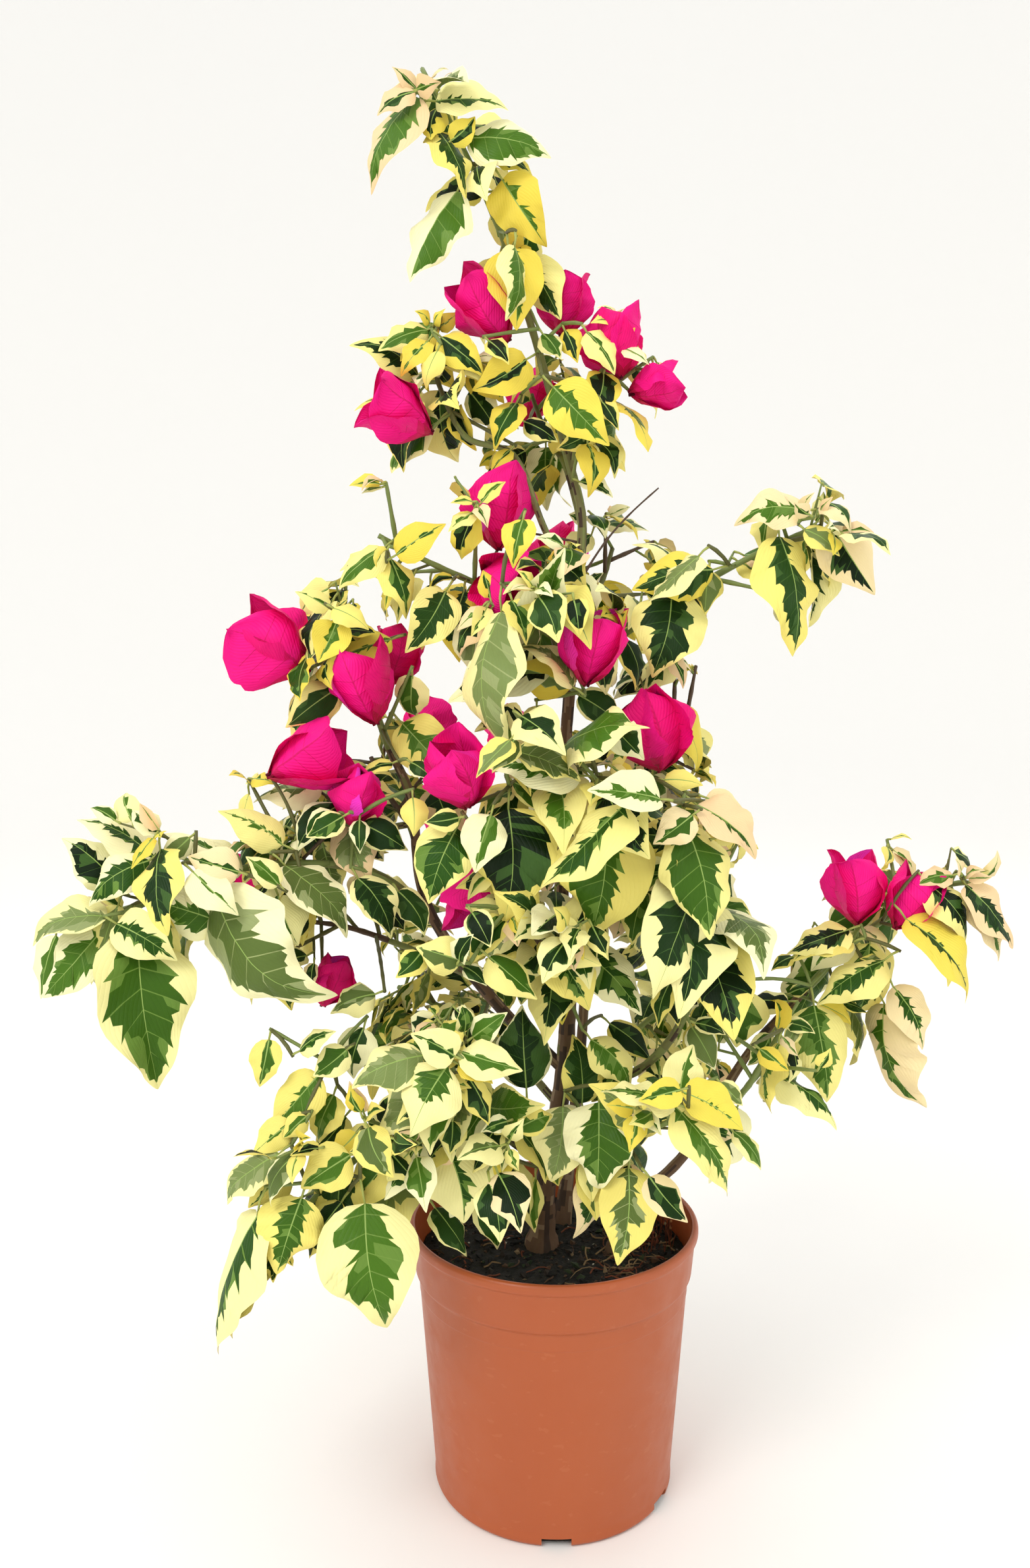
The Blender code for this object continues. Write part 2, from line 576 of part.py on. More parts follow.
def leaf_room(leaf, others):
    """How far the middle of a leaf is from the middles of the others."""
    middle = leaf["base"] + leaf["axis"] * leaf["length"] * 0.65
    nearest = 80.0
    for other in others:
        other_middle = other["base"] + other["axis"] * other["length"] * 0.65
        nearest = min(nearest, (middle - other_middle).length)
    return nearest


def grow_shoot_leaves(name, shoot, length, spec, crown, leaves, rng, first):
    """Leaves in a spiral up one shoot, smaller towards its tip, with a small tuft at the end."""
    count = max(1, int(length * (1 - first) / (spec["spacing"] * LEAF_SPACING)))
    turn = rng.uniform(0, 2 * math.pi)
    for i in range(count + 1):
        at = first + (LAST_LEAF - first) * i / count
        turn += GOLDEN_ANGLE
        size = spec["leaf"] * (1 - YOUNG_LEAF_SHRINK * (i / count) ** 1.5) * rng.uniform(0.74, 1.08)
        size = max(size, SMALLEST_LEAF)
        best = None
        for attempt in range(TRIES):
            offset = 0 if attempt == 0 else rng.uniform(-1.2, 1.2)
            droop = rng.uniform(*spec.get("droop", DROOP))
            leaf = leaf_at(shoot, at, turn + offset, size, droop, rng)
            solid = leaf_solid(leaf)
            if not crown.in_space(name, [solid[0][1]]):
                continue
            if crown.touches(name, solid) or crown.shades(solid):
                continue
            if crown.in_opening(leaf_probes(solid)):
                continue
            if crown.touches(name, leaf_solid(leaf, size * FREE_FROM), own=True):
                continue
            room = leaf_room(leaf, leaves)
            if best is None or room > best[0]:
                best = (room, leaf, solid)
            if room > size * 0.5:
                break
        if best:
            leaves.append(best[1])
            crown.add(name, best[2])


def grow_twig(name, stem, index, spec, crown, rng):
    """One side twig, turned until it is clear; None where it never is."""
    count = spec["twigs"]
    for attempt in range(TRIES):
        at = (index + 0.5) / count * 0.86 + rng.uniform(-0.03, 0.03)
        turn = index * GOLDEN_ANGLE + rng.uniform(-0.9, 0.9) * (1 + attempt * 0.4)
        length = spec["twig"] * (1.1 - 0.5 * at) * rng.uniform(0.8, 1.15)
        points = twig_curve(stem, at, turn, rng.uniform(0.75, 1.2), length, rng)
        solid = tube(points, (TWIG_RADIUS, TWIG_TIP_RADIUS), 3)
        beyond = tube(resample(points, 1, 0.25, 1.0), (TWIG_RADIUS, TWIG_TIP_RADIUS), 3)
        clear = not crown.touches(name, solid) and not crown.touches(name, beyond, own=True)
        if clear and crown.in_space(name, [points[-1]]) and not crown.in_opening([points[-1]]):
            crown.add(name, solid)
            return {"points": points, "length": length, "solid": solid}
    return None


def grow_bloom(name, stem, spec, crown, rng):
    """Three bracts round one middle, on a thin stalk, moved towards the viewer or away until free."""
    place = Vector(spec[0])
    heading = Vector(spec[1]) if spec[1] else light_from(place) * 0.5 + UP * rng.uniform(0.3, 0.9)
    heading = heading.normalized()
    length = spec[2] * rng.uniform(0.96, 1.04)
    towards = (VIEWER - place).normalized()
    side = across(heading, UP)
    seen = across(heading, towards)
    turn = math.atan2(seen.dot(heading.cross(side)), seen.dot(side)) + rng.uniform(*BLOOM_TURN)
    for shift in SHIFTS:
        base = place + towards * shift - heading * length * BLOOM_FULL
        bloom = {"base": base, "heading": heading, "length": length, "turn": turn}
        body = bloom_solid(bloom)
        if crown.touches(name, body):
            continue
        order = sorted(range(11), key=lambda i: (smooth_point(stem, i / 11) - base).length)
        for i in order:
            start = smooth_point(stem, i / 11)
            stalk = tube([start, base + heading * 1.5], (STALK_RADIUS * 1.3, STALK_RADIUS), 3)
            if not crown.touches(name, stalk):
                bloom["stalk"] = stalk
                crown.add(name, stalk)
                crown.add(name, body)
                return bloom
    return None


def bloom_solid(bloom):
    """A closed lantern: its foot, six corners round its widest part, and its top."""
    heading = bloom["heading"]
    side = across(heading, UP)
    other = heading.cross(side)
    length = bloom["length"]
    verts = []
    for k in range(6):
        angle = bloom["turn"] + math.pi * k / 3
        out = side * math.cos(angle) + other * math.sin(angle)
        wide = BLOOM_WIDE if k % 2 == 0 else BLOOM_NARROW
        verts.append(bloom["base"] + (out * wide + heading * BLOOM_FULL) * length)
    verts.append(bloom["base"] - heading * BLOOM_FOOT)
    verts.append(bloom["base"] + heading * BLOOM_HIGH * length)
    faces = []
    for k in range(6):
        n = (k + 1) % 6
        faces.append((k, 6, n))
        faces.append((k, n, 7))
    return verts, faces


def place_leaf(name, spec, mass, crown):
    """A leaf at its own place, moved to or from the viewer's side until it is free."""
    foot = Vector(spec[0:3])
    tip = Vector(spec[3:6])
    towards = (VIEWER - (foot + tip) / 2).normalized()
    length = (tip - foot).length
    axis = (tip - foot).normalized()
    for shift in SHIFTS:
        start = foot + towards * shift
        leaf = {"base": start - axis * length * PETIOLE_RATIO, "axis": axis,
                "facing": Vector(spec[7:10]), "length": length, "width": spec[6]}
        joint = min(mass["joints"], key=lambda p: (p - leaf["base"]).length)
        reach = (leaf["base"] - joint).normalized()
        stalk = tube([joint, leaf["base"] + reach], (STALK_RADIUS * 1.3, STALK_RADIUS), 3)
        solid = leaf_solid(leaf)
        if crown.touches(name, solid) or crown.touches(name, stalk):
            continue
        if crown.touches(name, leaf_solid(leaf, length * FREE_FROM), own=True):
            continue
        mass["leaves"].append(leaf)
        mass["stalks"].append(stalk)
        mass["joints"].append(leaf["base"])
        crown.add(name, solid)
        crown.add(name, stalk)
        crown.add_shaft(start.lerp(tip + towards * shift, 0.5), leaf["width"] * SHAFT_WIDTH)
        return


def grow_crown():
    """Curves, boughs and masses of the whole shrub, as plain data."""
    crown = Crown()
    curves = {}
    limbs = {}
    for name, spec in STEMS.items():
        curves[name] = stem_curve(name, curves)
        radii = limb_radii(spec, spec["steps"], 0.0, 1.0)
        limbs[name] = {"points": resample(curves[name], spec["steps"]), "radii": radii,
                       "sides": spec["sides"], "foot_axis": UP if spec.get("on_soil") else None}
        crown.add(name, limb_solid(limbs[name]))
    masses = {}
    for name, spec in BRANCHES.items():
        curves[name] = stem_curve(name, curves)
        enter = spec["enter"]
        if enter > 0:
            steps = max(3, round(enter * len(spec["way"]) * BOUGH_STEPS))
            bough = {"points": resample(curves[name], steps, 0.0, enter),
                     "radii": limb_radii(spec, steps, 0.0, enter),
                     "sides": BOUGH_SIDES, "foot_axis": None}
            limbs[name + "_bough"] = bough
            crown.add(name + "_bough", limb_solid(bough))
        carrier = limbs[name + "_bough"] if enter > 0 else limbs[spec["parent"]]
        tip = carrier["points"][-1]
        foot_axis = (tip - carrier["points"][-2]).normalized()
        rest = resample(curves[name], MASS_STEM_STEPS, enter, 1.0)
        stem = [tip + foot_axis * GAP] + rest[1:]
        radii = limb_radii(spec, MASS_STEM_STEPS, enter, 1.0)
        solid = tube(stem, radii, 3, foot_axis)
        crown.add(name, solid)
        crown.stems[name] = resample(stem, MASS_STEM_PROBES)
        masses[name] = {"stem": stem, "radii": radii, "solid": solid,
                        "blooms": [], "twigs": [], "leaves": [], "stalks": [],
                        "joints": resample(stem, OWN_JOINTS)[1:]}
    for name, mass in masses.items():
        rng = random.Random("bloom " + name)
        for spec in BRANCHES[name]["blooms"]:
            bloom = grow_bloom(name, mass["stem"], spec, crown, rng)
            if bloom:
                mass["blooms"].append(bloom)
    for name, rows in PLACED.items():
        for row in rows:
            place_leaf(name, row, masses[name], crown)
    for name, mass in masses.items():
        rng = random.Random("twig " + name)
        for index in range(BRANCHES[name]["twigs"]):
            twig = grow_twig(name, mass["stem"], index, BRANCHES[name], crown, rng)
            if twig:
                mass["twigs"].append(twig)
    for name, mass in masses.items():
        rng = random.Random("leaf " + name)
        spec = BRANCHES[name]
        length = sum((a - b).length for a, b in zip(mass["stem"], mass["stem"][1:]))
        grow_shoot_leaves(name, mass["stem"], length, spec, crown, mass["leaves"], rng, 0.12)
        for twig in mass["twigs"]:
            grow_shoot_leaves(name, twig["points"], twig["length"], spec, crown,
                              mass["leaves"], rng, 0.30)
    return limbs, masses


# Blender objects

def plain_material(name, colour, roughness):
    material = bpy.data.materials.new(name)
    material.use_nodes = True
    shader = material.node_tree.nodes["Principled BSDF"]
    shader.inputs["Base Color"].default_value = (*colour, 1.0)
    shader.inputs["Roughness"].default_value = roughness
    shader.inputs["Metallic"].default_value = 0.0
    return material


def new_object(name, solid, material=None):
    """A closed mesh object from points in millimetres."""
    verts, faces = solid
    mesh = bpy.data.meshes.new(name)
    mesh.from_pydata([Vector(v) * MM for v in verts], [], faces)
    mesh.update()
    shape = bmesh.new()
    shape.from_mesh(mesh)
    bmesh.ops.recalc_face_normals(shape, faces=shape.faces)
    shape.to_mesh(mesh)
    shape.free()
    if material:
        mesh.materials.append(material)
    thing = bpy.data.objects.new(name, mesh)
    bpy.context.scene.collection.objects.link(thing)
    return thing


def remove_object(thing):
    mesh = thing.data
    bpy.data.objects.remove(thing)
    bpy.data.meshes.remove(mesh)


def apply_boolean(thing, operation, cutters, solver="EXACT"):
    """One Boolean with a collection of helpers, applied; the helpers are then removed."""
    helpers = bpy.data.collections.new("helpers")
    bpy.context.scene.collection.children.link(helpers)
    for cutter in cutters:
        helpers.objects.link(cutter)
        cutter.hide_render = True
        cutter.display_type = "WIRE"
    step = thing.modifiers.new("join", "BOOLEAN")
    step.operation = operation
    step.operand_type = "COLLECTION"
    step.collection = helpers
    step.solver = solver
    graph = bpy.context.evaluated_depsgraph_get()
    result = bpy.data.meshes.new_from_object(thing.evaluated_get(graph))
    thing.modifiers.clear()
    old = thing.data
    result.name = old.name
    thing.data = result
    bpy.data.meshes.remove(old)
    for cutter in cutters:
        remove_object(cutter)
    bpy.data.collections.remove(helpers)


def keep_main_body(thing):
    """Weld hairline seams and drop loose scraps and sealed hollows."""
    shape = bmesh.new()
    shape.from_mesh(thing.data)
    bmesh.ops.dissolve_limit(shape, angle_limit=0.001, verts=shape.verts, edges=shape.edges)
    bmesh.ops.triangulate(shape, faces=shape.faces)
    seen = set()
    groups = []
    for vert in shape.verts:
        if vert in seen:
            continue
        group = []
        queue = [vert]
        seen.add(vert)
        while queue:
            current = queue.pop()
            group.append(current)
            for edge in current.link_edges:
                other = edge.other_vert(current)
                if other not in seen:
                    seen.add(other)
                    queue.append(other)
        groups.append(group)
    groups.sort(key=len, reverse=True)
    loose = [vert for group in groups[1:] for vert in group]
    bmesh.ops.delete(shape, geom=loose, context="VERTS")
    shape.to_mesh(thing.data)
    shape.free()


def turned_solid(name, profile, segments, material):
    """A closed solid of revolution from (radius, height) points running up the outside."""
    shape = bmesh.new()
    rings = []
    for radius, height in profile:
        if radius < 1e-6:
            rings.append([shape.verts.new((0, 0, height * MM))])
            continue
        ring = []
        for k in range(segments):
            angle = 2 * math.pi * k / segments
            ring.append(shape.verts.new((radius * math.cos(angle) * MM,
                                         radius * math.sin(angle) * MM, height * MM)))
        rings.append(ring)
    for low, high in zip(rings, rings[1:]):
        for k in range(segments):
            n = (k + 1) % segments
            if len(low) == 1:
                shape.faces.new((low[0], high[n], high[k]))
            elif len(high) == 1:
                shape.faces.new((low[k], low[n], high[0]))
            else:
                shape.faces.new((low[k], low[n], high[n], high[k]))
    bmesh.ops.recalc_face_normals(shape, faces=shape.faces)
    mesh = bpy.data.meshes.new(name)
    shape.to_mesh(mesh)
    shape.free()
    mesh.materials.append(material)
    thing = bpy.data.objects.new(name, mesh)
    bpy.context.scene.collection.objects.link(thing)
    mesh.shade_smooth()
    mesh.set_sharp_from_angle(angle=math.radians(35))
    return thing


def wall_radius(height):
    """Outer radius of the pot's tapered wall below its collar."""
    taper = (POT_RIM_RADIUS - POT_COLLAR_STEP - POT_LIP_WIDTH + POT_WALL) - POT_BASE_RADIUS
    return POT_BASE_RADIUS + taper * height / POT_HEIGHT


def make_pot(material):
    top = POT_HEIGHT
    collar = POT_HEIGHT - POT_COLLAR_HEIGHT
    lip = POT_HEIGHT - POT_LIP_HEIGHT
    under_lip = POT_RIM_RADIUS - POT_LIP_WIDTH * 0.5
    collar_radius = wall_radius(collar) + POT_COLLAR_STEP
    outside = [(0, 0), (POT_BASE_RADIUS - 1.8, 0), (POT_BASE_RADIUS, 1.8),
               (wall_radius(POT_FOOT_HEIGHT) - 0.6, POT_FOOT_HEIGHT + 2),
               (wall_radius(collar), collar - 1.2), (collar_radius, collar + 0.6),
               (under_lip, lip), (POT_RIM_RADIUS, lip + 1.4), (POT_RIM_RADIUS, top - 1.4),
               (POT_RIM_RADIUS - 1.0, top)]
    inside = [(POT_RIM_RADIUS - POT_LIP_WIDTH, top),
              (collar_radius - POT_WALL, collar + 2.0),
              (wall_radius(collar) - POT_WALL, collar - 1.0),
              (wall_radius(POT_FLOOR) - POT_WALL - 0.4, POT_FLOOR), (0, POT_FLOOR)]
    pot = turned_solid("pot", outside + inside, POT_SEGMENTS, material)
    cutters = []
    for k in range(DRAIN_COUNT):
        angle = 2 * math.pi * k / DRAIN_COUNT - math.pi / 2
        cutters.append(drain_cutter(angle))
    apply_boolean(pot, "DIFFERENCE", cutters)
    return pot


def drain_cutter(angle):
    """A block through the corner where the wall meets the floor."""
    outer = POT_BASE_RADIUS + 4
    inner = POT_BASE_RADIUS - DRAIN_DEPTH
    verts = []
    for radius in (inner, outer):
        for across_by in (-DRAIN_WIDTH / 2, DRAIN_WIDTH / 2):
            for height in (-2.0, DRAIN_HEIGHT):
                verts.append((radius * math.cos(angle) - across_by * math.sin(angle),
                              radius * math.sin(angle) + across_by * math.cos(angle), height))
    faces = [(0, 1, 3, 2), (4, 6, 7, 5), (0, 4, 5, 1), (2, 3, 7, 6), (0, 2, 6, 4), (1, 5, 7, 3)]
    return new_object("drain", (verts, faces))


def make_soil(material):
    """The soil fills the pot to its level, clear of the wall."""
    collar = POT_HEIGHT - POT_COLLAR_HEIGHT
    edge = SOIL_LEVEL - SOIL_EDGE_DROP
    bottom = POT_FLOOR + GAP
    side = POT_WALL + GAP
    profile = [(0, bottom), (wall_radius(bottom) - side - 0.7, bottom),
               (wall_radius(collar) - side, collar - 1.2 - GAP),
               (wall_radius(edge) + POT_COLLAR_STEP - side - 0.3, edge),
               (SOIL_FLAT_RADIUS, SOIL_LEVEL), (0, SOIL_LEVEL)]
    return turned_solid("soil", profile, POT_SEGMENTS, material)


def near_limbs(name, limb, limbs):
    """Limbs made before this one that it would run into."""
    own = tree_of(grown(limb_solid(limb), GAP * 2))
    found = []
    for other, data in limbs.items():
        if other == name:
            break
        if own.overlap(tree_of(limb_solid(data))):
            found.append(data)
    return found


def make_limb(name, limbs, material):
    """A tapering limb, its foot cut to sit 0.3 mm off the limb that carries it."""
    limb = limbs[name]
    thing = new_object(name, limb_solid(limb), material)
    cutters = []
    for data in near_limbs(name, limb, limbs):
        radii = [radius + GAP * 1.2 for radius in data["radii"]]
        points = [Vector(p) for p in data["points"]]
        points[-1] += (points[-1] - points[-2]).normalized() * GAP
        cutters.append(new_object("cutter", tube(points, radii, data["sides"])))
    if cutters:
        apply_boolean(thing, "DIFFERENCE", cutters)
        keep_main_body(thing)
    return thing


def make_mass(name, mass, material):
    """Stem, twigs, leaves and blooms of one mass, fused into one body."""
    thing = new_object(name, mass["solid"], material)
    helpers = []
    for twig in mass["twigs"]:
        helpers.append(new_object("twig", twig["solid"]))
    for leaf in mass["leaves"]:
        helpers.append(new_object("leaf", leaf_solid(leaf)))
    for stalk in mass["stalks"]:
        helpers.append(new_object("stalk", stalk))
    for bloom in mass["blooms"]:
        helpers.append(new_object("stalk", bloom["stalk"]))
        helpers.append(new_object("bloom", bloom_solid(bloom)))
    apply_boolean(thing, "UNION", helpers, "MANIFOLD")
    keep_main_body(thing)
    return thing


def main():
    for thing in list(bpy.data.objects):
        bpy.data.objects.remove(thing)
    terracotta = plain_material("terracotta_plastic", (0.58, 0.15, 0.07), 0.45)
    earth = plain_material("potting_soil", (0.03, 0.02, 0.015), 0.95)
    bark = plain_material("bark", (0.10, 0.06, 0.035), 0.85)
    foliage = plain_material("variegated_leaf", (0.35, 0.42, 0.10), 0.5)
    make_pot(terracotta)
    make_soil(earth)
    limbs, masses = grow_crown()
    for name in limbs:
        make_limb(name, limbs, bark)
    for name, mass in masses.items():
        make_mass(name, mass, foliage)


main()
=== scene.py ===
import json
import math
import random

import bmesh
import bpy
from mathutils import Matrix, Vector, noise
from mathutils.bvhtree import BVHTree

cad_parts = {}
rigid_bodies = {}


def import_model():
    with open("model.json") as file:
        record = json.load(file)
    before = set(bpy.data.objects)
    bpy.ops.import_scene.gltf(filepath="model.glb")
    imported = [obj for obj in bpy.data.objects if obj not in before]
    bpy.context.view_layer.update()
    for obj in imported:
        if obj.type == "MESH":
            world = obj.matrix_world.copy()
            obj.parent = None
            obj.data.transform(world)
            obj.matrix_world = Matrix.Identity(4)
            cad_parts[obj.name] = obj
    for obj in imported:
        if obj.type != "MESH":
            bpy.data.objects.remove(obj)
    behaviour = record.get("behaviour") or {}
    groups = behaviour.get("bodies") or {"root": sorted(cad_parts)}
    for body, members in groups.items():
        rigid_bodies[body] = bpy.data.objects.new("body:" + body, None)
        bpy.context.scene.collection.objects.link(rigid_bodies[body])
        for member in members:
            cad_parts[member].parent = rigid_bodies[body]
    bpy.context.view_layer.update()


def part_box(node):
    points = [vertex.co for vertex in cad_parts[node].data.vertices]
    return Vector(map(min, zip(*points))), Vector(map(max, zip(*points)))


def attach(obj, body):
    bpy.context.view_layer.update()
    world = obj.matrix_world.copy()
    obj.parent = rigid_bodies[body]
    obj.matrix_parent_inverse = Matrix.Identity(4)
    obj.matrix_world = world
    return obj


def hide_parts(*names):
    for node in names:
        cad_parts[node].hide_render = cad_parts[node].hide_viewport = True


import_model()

# lengths below are millimetres; meshes are written in metres
mm = 0.001
up = Vector((0, 0, 1))
front = Vector((0, -1, 0))


# camera

cameraLook = {"place": (-20.7, -624.4, 425.0), "downTilt": 4.38, "lens": 27.23, "sensor": 36.0}


def makeCamera():
    data = bpy.data.cameras.new("camera")
    data.lens = cameraLook["lens"]
    data.sensor_width = cameraLook["sensor"]
    data.sensor_fit = "AUTO"
    data.clip_end = 50
    camera = bpy.data.objects.new("camera", data)
    camera.location = Vector(cameraLook["place"]) * mm
    camera.rotation_euler = (math.radians(90 - cameraLook["downTilt"]), 0, 0)
    bpy.context.scene.collection.objects.link(camera)
    bpy.context.scene.camera = camera


# colours and materials

# a screen colour in 0 to 255 as scene values
def linear(red, green, blue):
    def one(value):
        value = value / 255
        return value / 12.92 if value <= 0.04045 else ((value + 0.055) / 1.055) ** 2.4
    return (one(red), one(green), one(blue), 1.0)


def newMaterial(name):
    material = bpy.data.materials.new(name)
    material.use_nodes = True
    tree = material.node_tree
    return material, tree, tree.nodes["Principled BSDF"]


def addNoise(tree, scale, detail=4.0, stretch=None):
    vector = tree.nodes.new("ShaderNodeTexCoord").outputs["Object"]
    if stretch:
        mapping = tree.nodes.new("ShaderNodeMapping")
        mapping.inputs["Scale"].default_value = stretch
        tree.links.new(vector, mapping.inputs["Vector"])
        vector = mapping.outputs["Vector"]
    texture = tree.nodes.new("ShaderNodeTexNoise")
    texture.inputs["Scale"].default_value = scale
    texture.inputs["Detail"].default_value = detail
    tree.links.new(vector, texture.inputs["Vector"])
    return texture.outputs["Fac"]


# a noise value, mostly between 0.3 and 0.7, moved into a range
def spread(tree, value, low, high):
    node = tree.nodes.new("ShaderNodeMapRange")
    for name, bound in (("From Min", 0.3), ("From Max", 0.7), ("To Min", low), ("To Max", high)):
        node.inputs[name].default_value = bound
    tree.links.new(value, node.inputs["Value"])
    return node.outputs["Result"]


# two colours, either of them made by other nodes, mixed by a factor
def mixColours(tree, factor, first, second):
    mix = tree.nodes.new("ShaderNodeMix")
    mix.data_type = "RGBA"
    for name, colour in (("A", first), ("B", second)):
        if isinstance(colour, tuple):
            mix.inputs[name].default_value = colour
        else:
            tree.links.new(colour, mix.inputs[name])
    tree.links.new(factor, mix.inputs["Factor"])
    return mix.outputs["Result"]


def addBump(tree, shader, height, strength, distance):
    bump = tree.nodes.new("ShaderNodeBump")
    bump.inputs["Strength"].default_value = strength
    bump.inputs["Distance"].default_value = distance
    tree.links.new(height, bump.inputs["Height"])
    tree.links.new(bump.outputs["Normal"], shader.inputs["Normal"])


def mathNode(tree, operation, first, second=None):
    node = tree.nodes.new("ShaderNodeMath")
    node.operation = operation
    for slot, value in enumerate((first, second)):
        if value is None:
            continue
        if isinstance(value, (int, float)):
            node.inputs[slot].default_value = value
        else:
            tree.links.new(value, node.inputs[slot])
    return node.outputs["Value"]


tissueLook = {"veinSharp": 0.5, "veinSlant": 1.1, "grainScale": 900, "grainShare": 0.6,
              "glossScale": 220, "glossSpan": (-0.08, 0.12), "depth": 0.0004}
grainLook = {"detail": 5.0, "roughSpan": 0.1, "depth": 0.0006}


# side veins that run from the midrib out and towards the tip, from the blade's own map
def veinHeight(tree, count):
    coords = tree.nodes.new("ShaderNodeTexCoord")
    split = tree.nodes.new("ShaderNodeSeparateXYZ")
    tree.links.new(coords.outputs["UV"], split.inputs["Vector"])
    aside = mathNode(tree, "ABSOLUTE", mathNode(tree, "SUBTRACT", split.outputs["X"], 0.5))
    back = mathNode(tree, "MULTIPLY", aside, tissueLook["veinSlant"])
    along = mathNode(tree, "SUBTRACT", split.outputs["Y"], back)
    wave = mathNode(tree, "SINE", mathNode(tree, "MULTIPLY", along, count * 2 * math.pi))
    ridge = mathNode(tree, "POWER", mathNode(tree, "ABSOLUTE", wave), tissueLook["veinSharp"])
    grain = addNoise(tree, tissueLook["grainScale"], 3.0)
    return mathNode(tree, "ADD", ridge, mathNode(tree, "MULTIPLY", grain, tissueLook["grainShare"]))


# living tissue: plain colour, uneven gloss, veins raised by bump
def bladeMaterial(name, colour, rough, veins, bump, gloss):
    material, tree, shader = newMaterial(name)
    shader.inputs["Base Color"].default_value = colour
    low, high = tissueLook["glossSpan"]
    uneven = spread(tree, addNoise(tree, tissueLook["glossScale"], 3.0), rough + low, rough + high)
    tree.links.new(uneven, shader.inputs["Roughness"])
    shader.inputs["Specular IOR Level"].default_value = gloss
    addBump(tree, shader, veinHeight(tree, veins), bump, tissueLook["depth"])
    return material


# a plain colour with a fine uneven surface
def grainMaterial(name, colour, rough, scale, bump, stretch=None):
    material, tree, shader = newMaterial(name)
    shader.inputs["Base Color"].default_value = colour
    grain = addNoise(tree, scale, grainLook["detail"], stretch)
    span = grainLook["roughSpan"]
    tree.links.new(spread(tree, grain, rough - span, rough + span), shader.inputs["Roughness"])
    addBump(tree, shader, grain, bump, grainLook["depth"])
    return material


# shapes spun from a profile

axisRadius = 0.001  # a profile starts or ends this near the axis, and the spin's doubles merge there


def spun(profile, segments):
    shape = bmesh.new()
    points = [shape.verts.new((radius * mm, 0, height * mm)) for radius, height in profile]
    edges = [shape.edges.new(pair) for pair in zip(points, points[1:])]
    bmesh.ops.spin(shape, geom=points + edges, cent=(0, 0, 0), axis=(0, 0, 1), angle=2 * math.pi,
                   steps=segments, use_merge=True, use_duplicate=False)
    bmesh.ops.remove_doubles(shape, verts=shape.verts, dist=3 * axisRadius * mm)
    return shape


def addObject(name, shape):
    mesh = bpy.data.meshes.new(name)
    shape.to_mesh(mesh)
    shape.free()
    piece = bpy.data.objects.new(name, mesh)
    bpy.context.scene.collection.objects.link(piece)
    return piece


# stage

stageLook = {"flatRadius": 2600, "rimRadius": 6000, "rimHeight": 4500, "segments": 96, "rings": 14,
             "colour": (250, 249, 246), "world": 0.985}


# a pale floor that curves up far away on every side
def makeStage():
    flat = stageLook["flatRadius"]
    width = stageLook["rimRadius"] - flat
    steps = [i / stageLook["rings"] for i in range(stageLook["rings"] + 1)]
    profile = [(axisRadius, 0)] + [(flat + width * t, stageLook["rimHeight"] * t ** 3) for t in steps]
    shape = spun(profile, stageLook["segments"])
    shape.normal_update()
    bmesh.ops.reverse_faces(shape, faces=[face for face in shape.faces if face.normal.z < 0])
    floor = addObject("studio_floor", shape)
    floor.data.shade_smooth()
    material, tree, shader = newMaterial("studio_floor")
    shader.inputs["Base Color"].default_value = linear(*stageLook["colour"])
    shader.inputs["Roughness"].default_value = 0.9
    addBump(tree, shader, addNoise(tree, 60, 2.0), 0.05, 0.001)
    floor.data.materials.append(material)


# place, target, size, energy and colour
lightLook = {"key": ((-1.3, -1.7, 2.3), (0, 0, 0.4), 1.2, 30, (1.0, 0.98, 0.95)),
             "fill": ((1.8, -1.2, 1.4), (0, 0, 0.4), 1.6, 5, (0.97, 0.98, 1.0)),
             "back": ((0.6, 1.9, 2.2), (0, 0, 0.45), 1.5, 6, (1.0, 0.99, 0.97))}


def addLight(name, place, target, size, energy, colour):
    data = bpy.data.lights.new(name, "AREA")
    data.size = size
    data.energy = energy
    data.color = colour
    light = bpy.data.objects.new(name, data)
    light.location = place
    light.rotation_euler = (Vector(target) - Vector(place)).to_track_quat("-Z", "Y").to_euler()
    bpy.context.scene.collection.objects.link(light)


def makeLights():
    world = bpy.data.worlds.new("studio")
    world.use_nodes = True
    background = world.node_tree.nodes["Background"]
    background.inputs["Color"].default_value = (*[stageLook["world"]] * 3, 1.0)
    background.inputs["Strength"].default_value = 1.0
    bpy.context.scene.world = world
    for name, settings in lightLook.items():
        addLight(name, *settings)
    bpy.context.scene.view_settings.view_transform = "Standard"
    bpy.context.scene.view_settings.look = "None"


makeCamera()
makeStage()
makeLights()
print("stage ready")


# the plant's plan: the same stems and branches as the solids, in millimetres

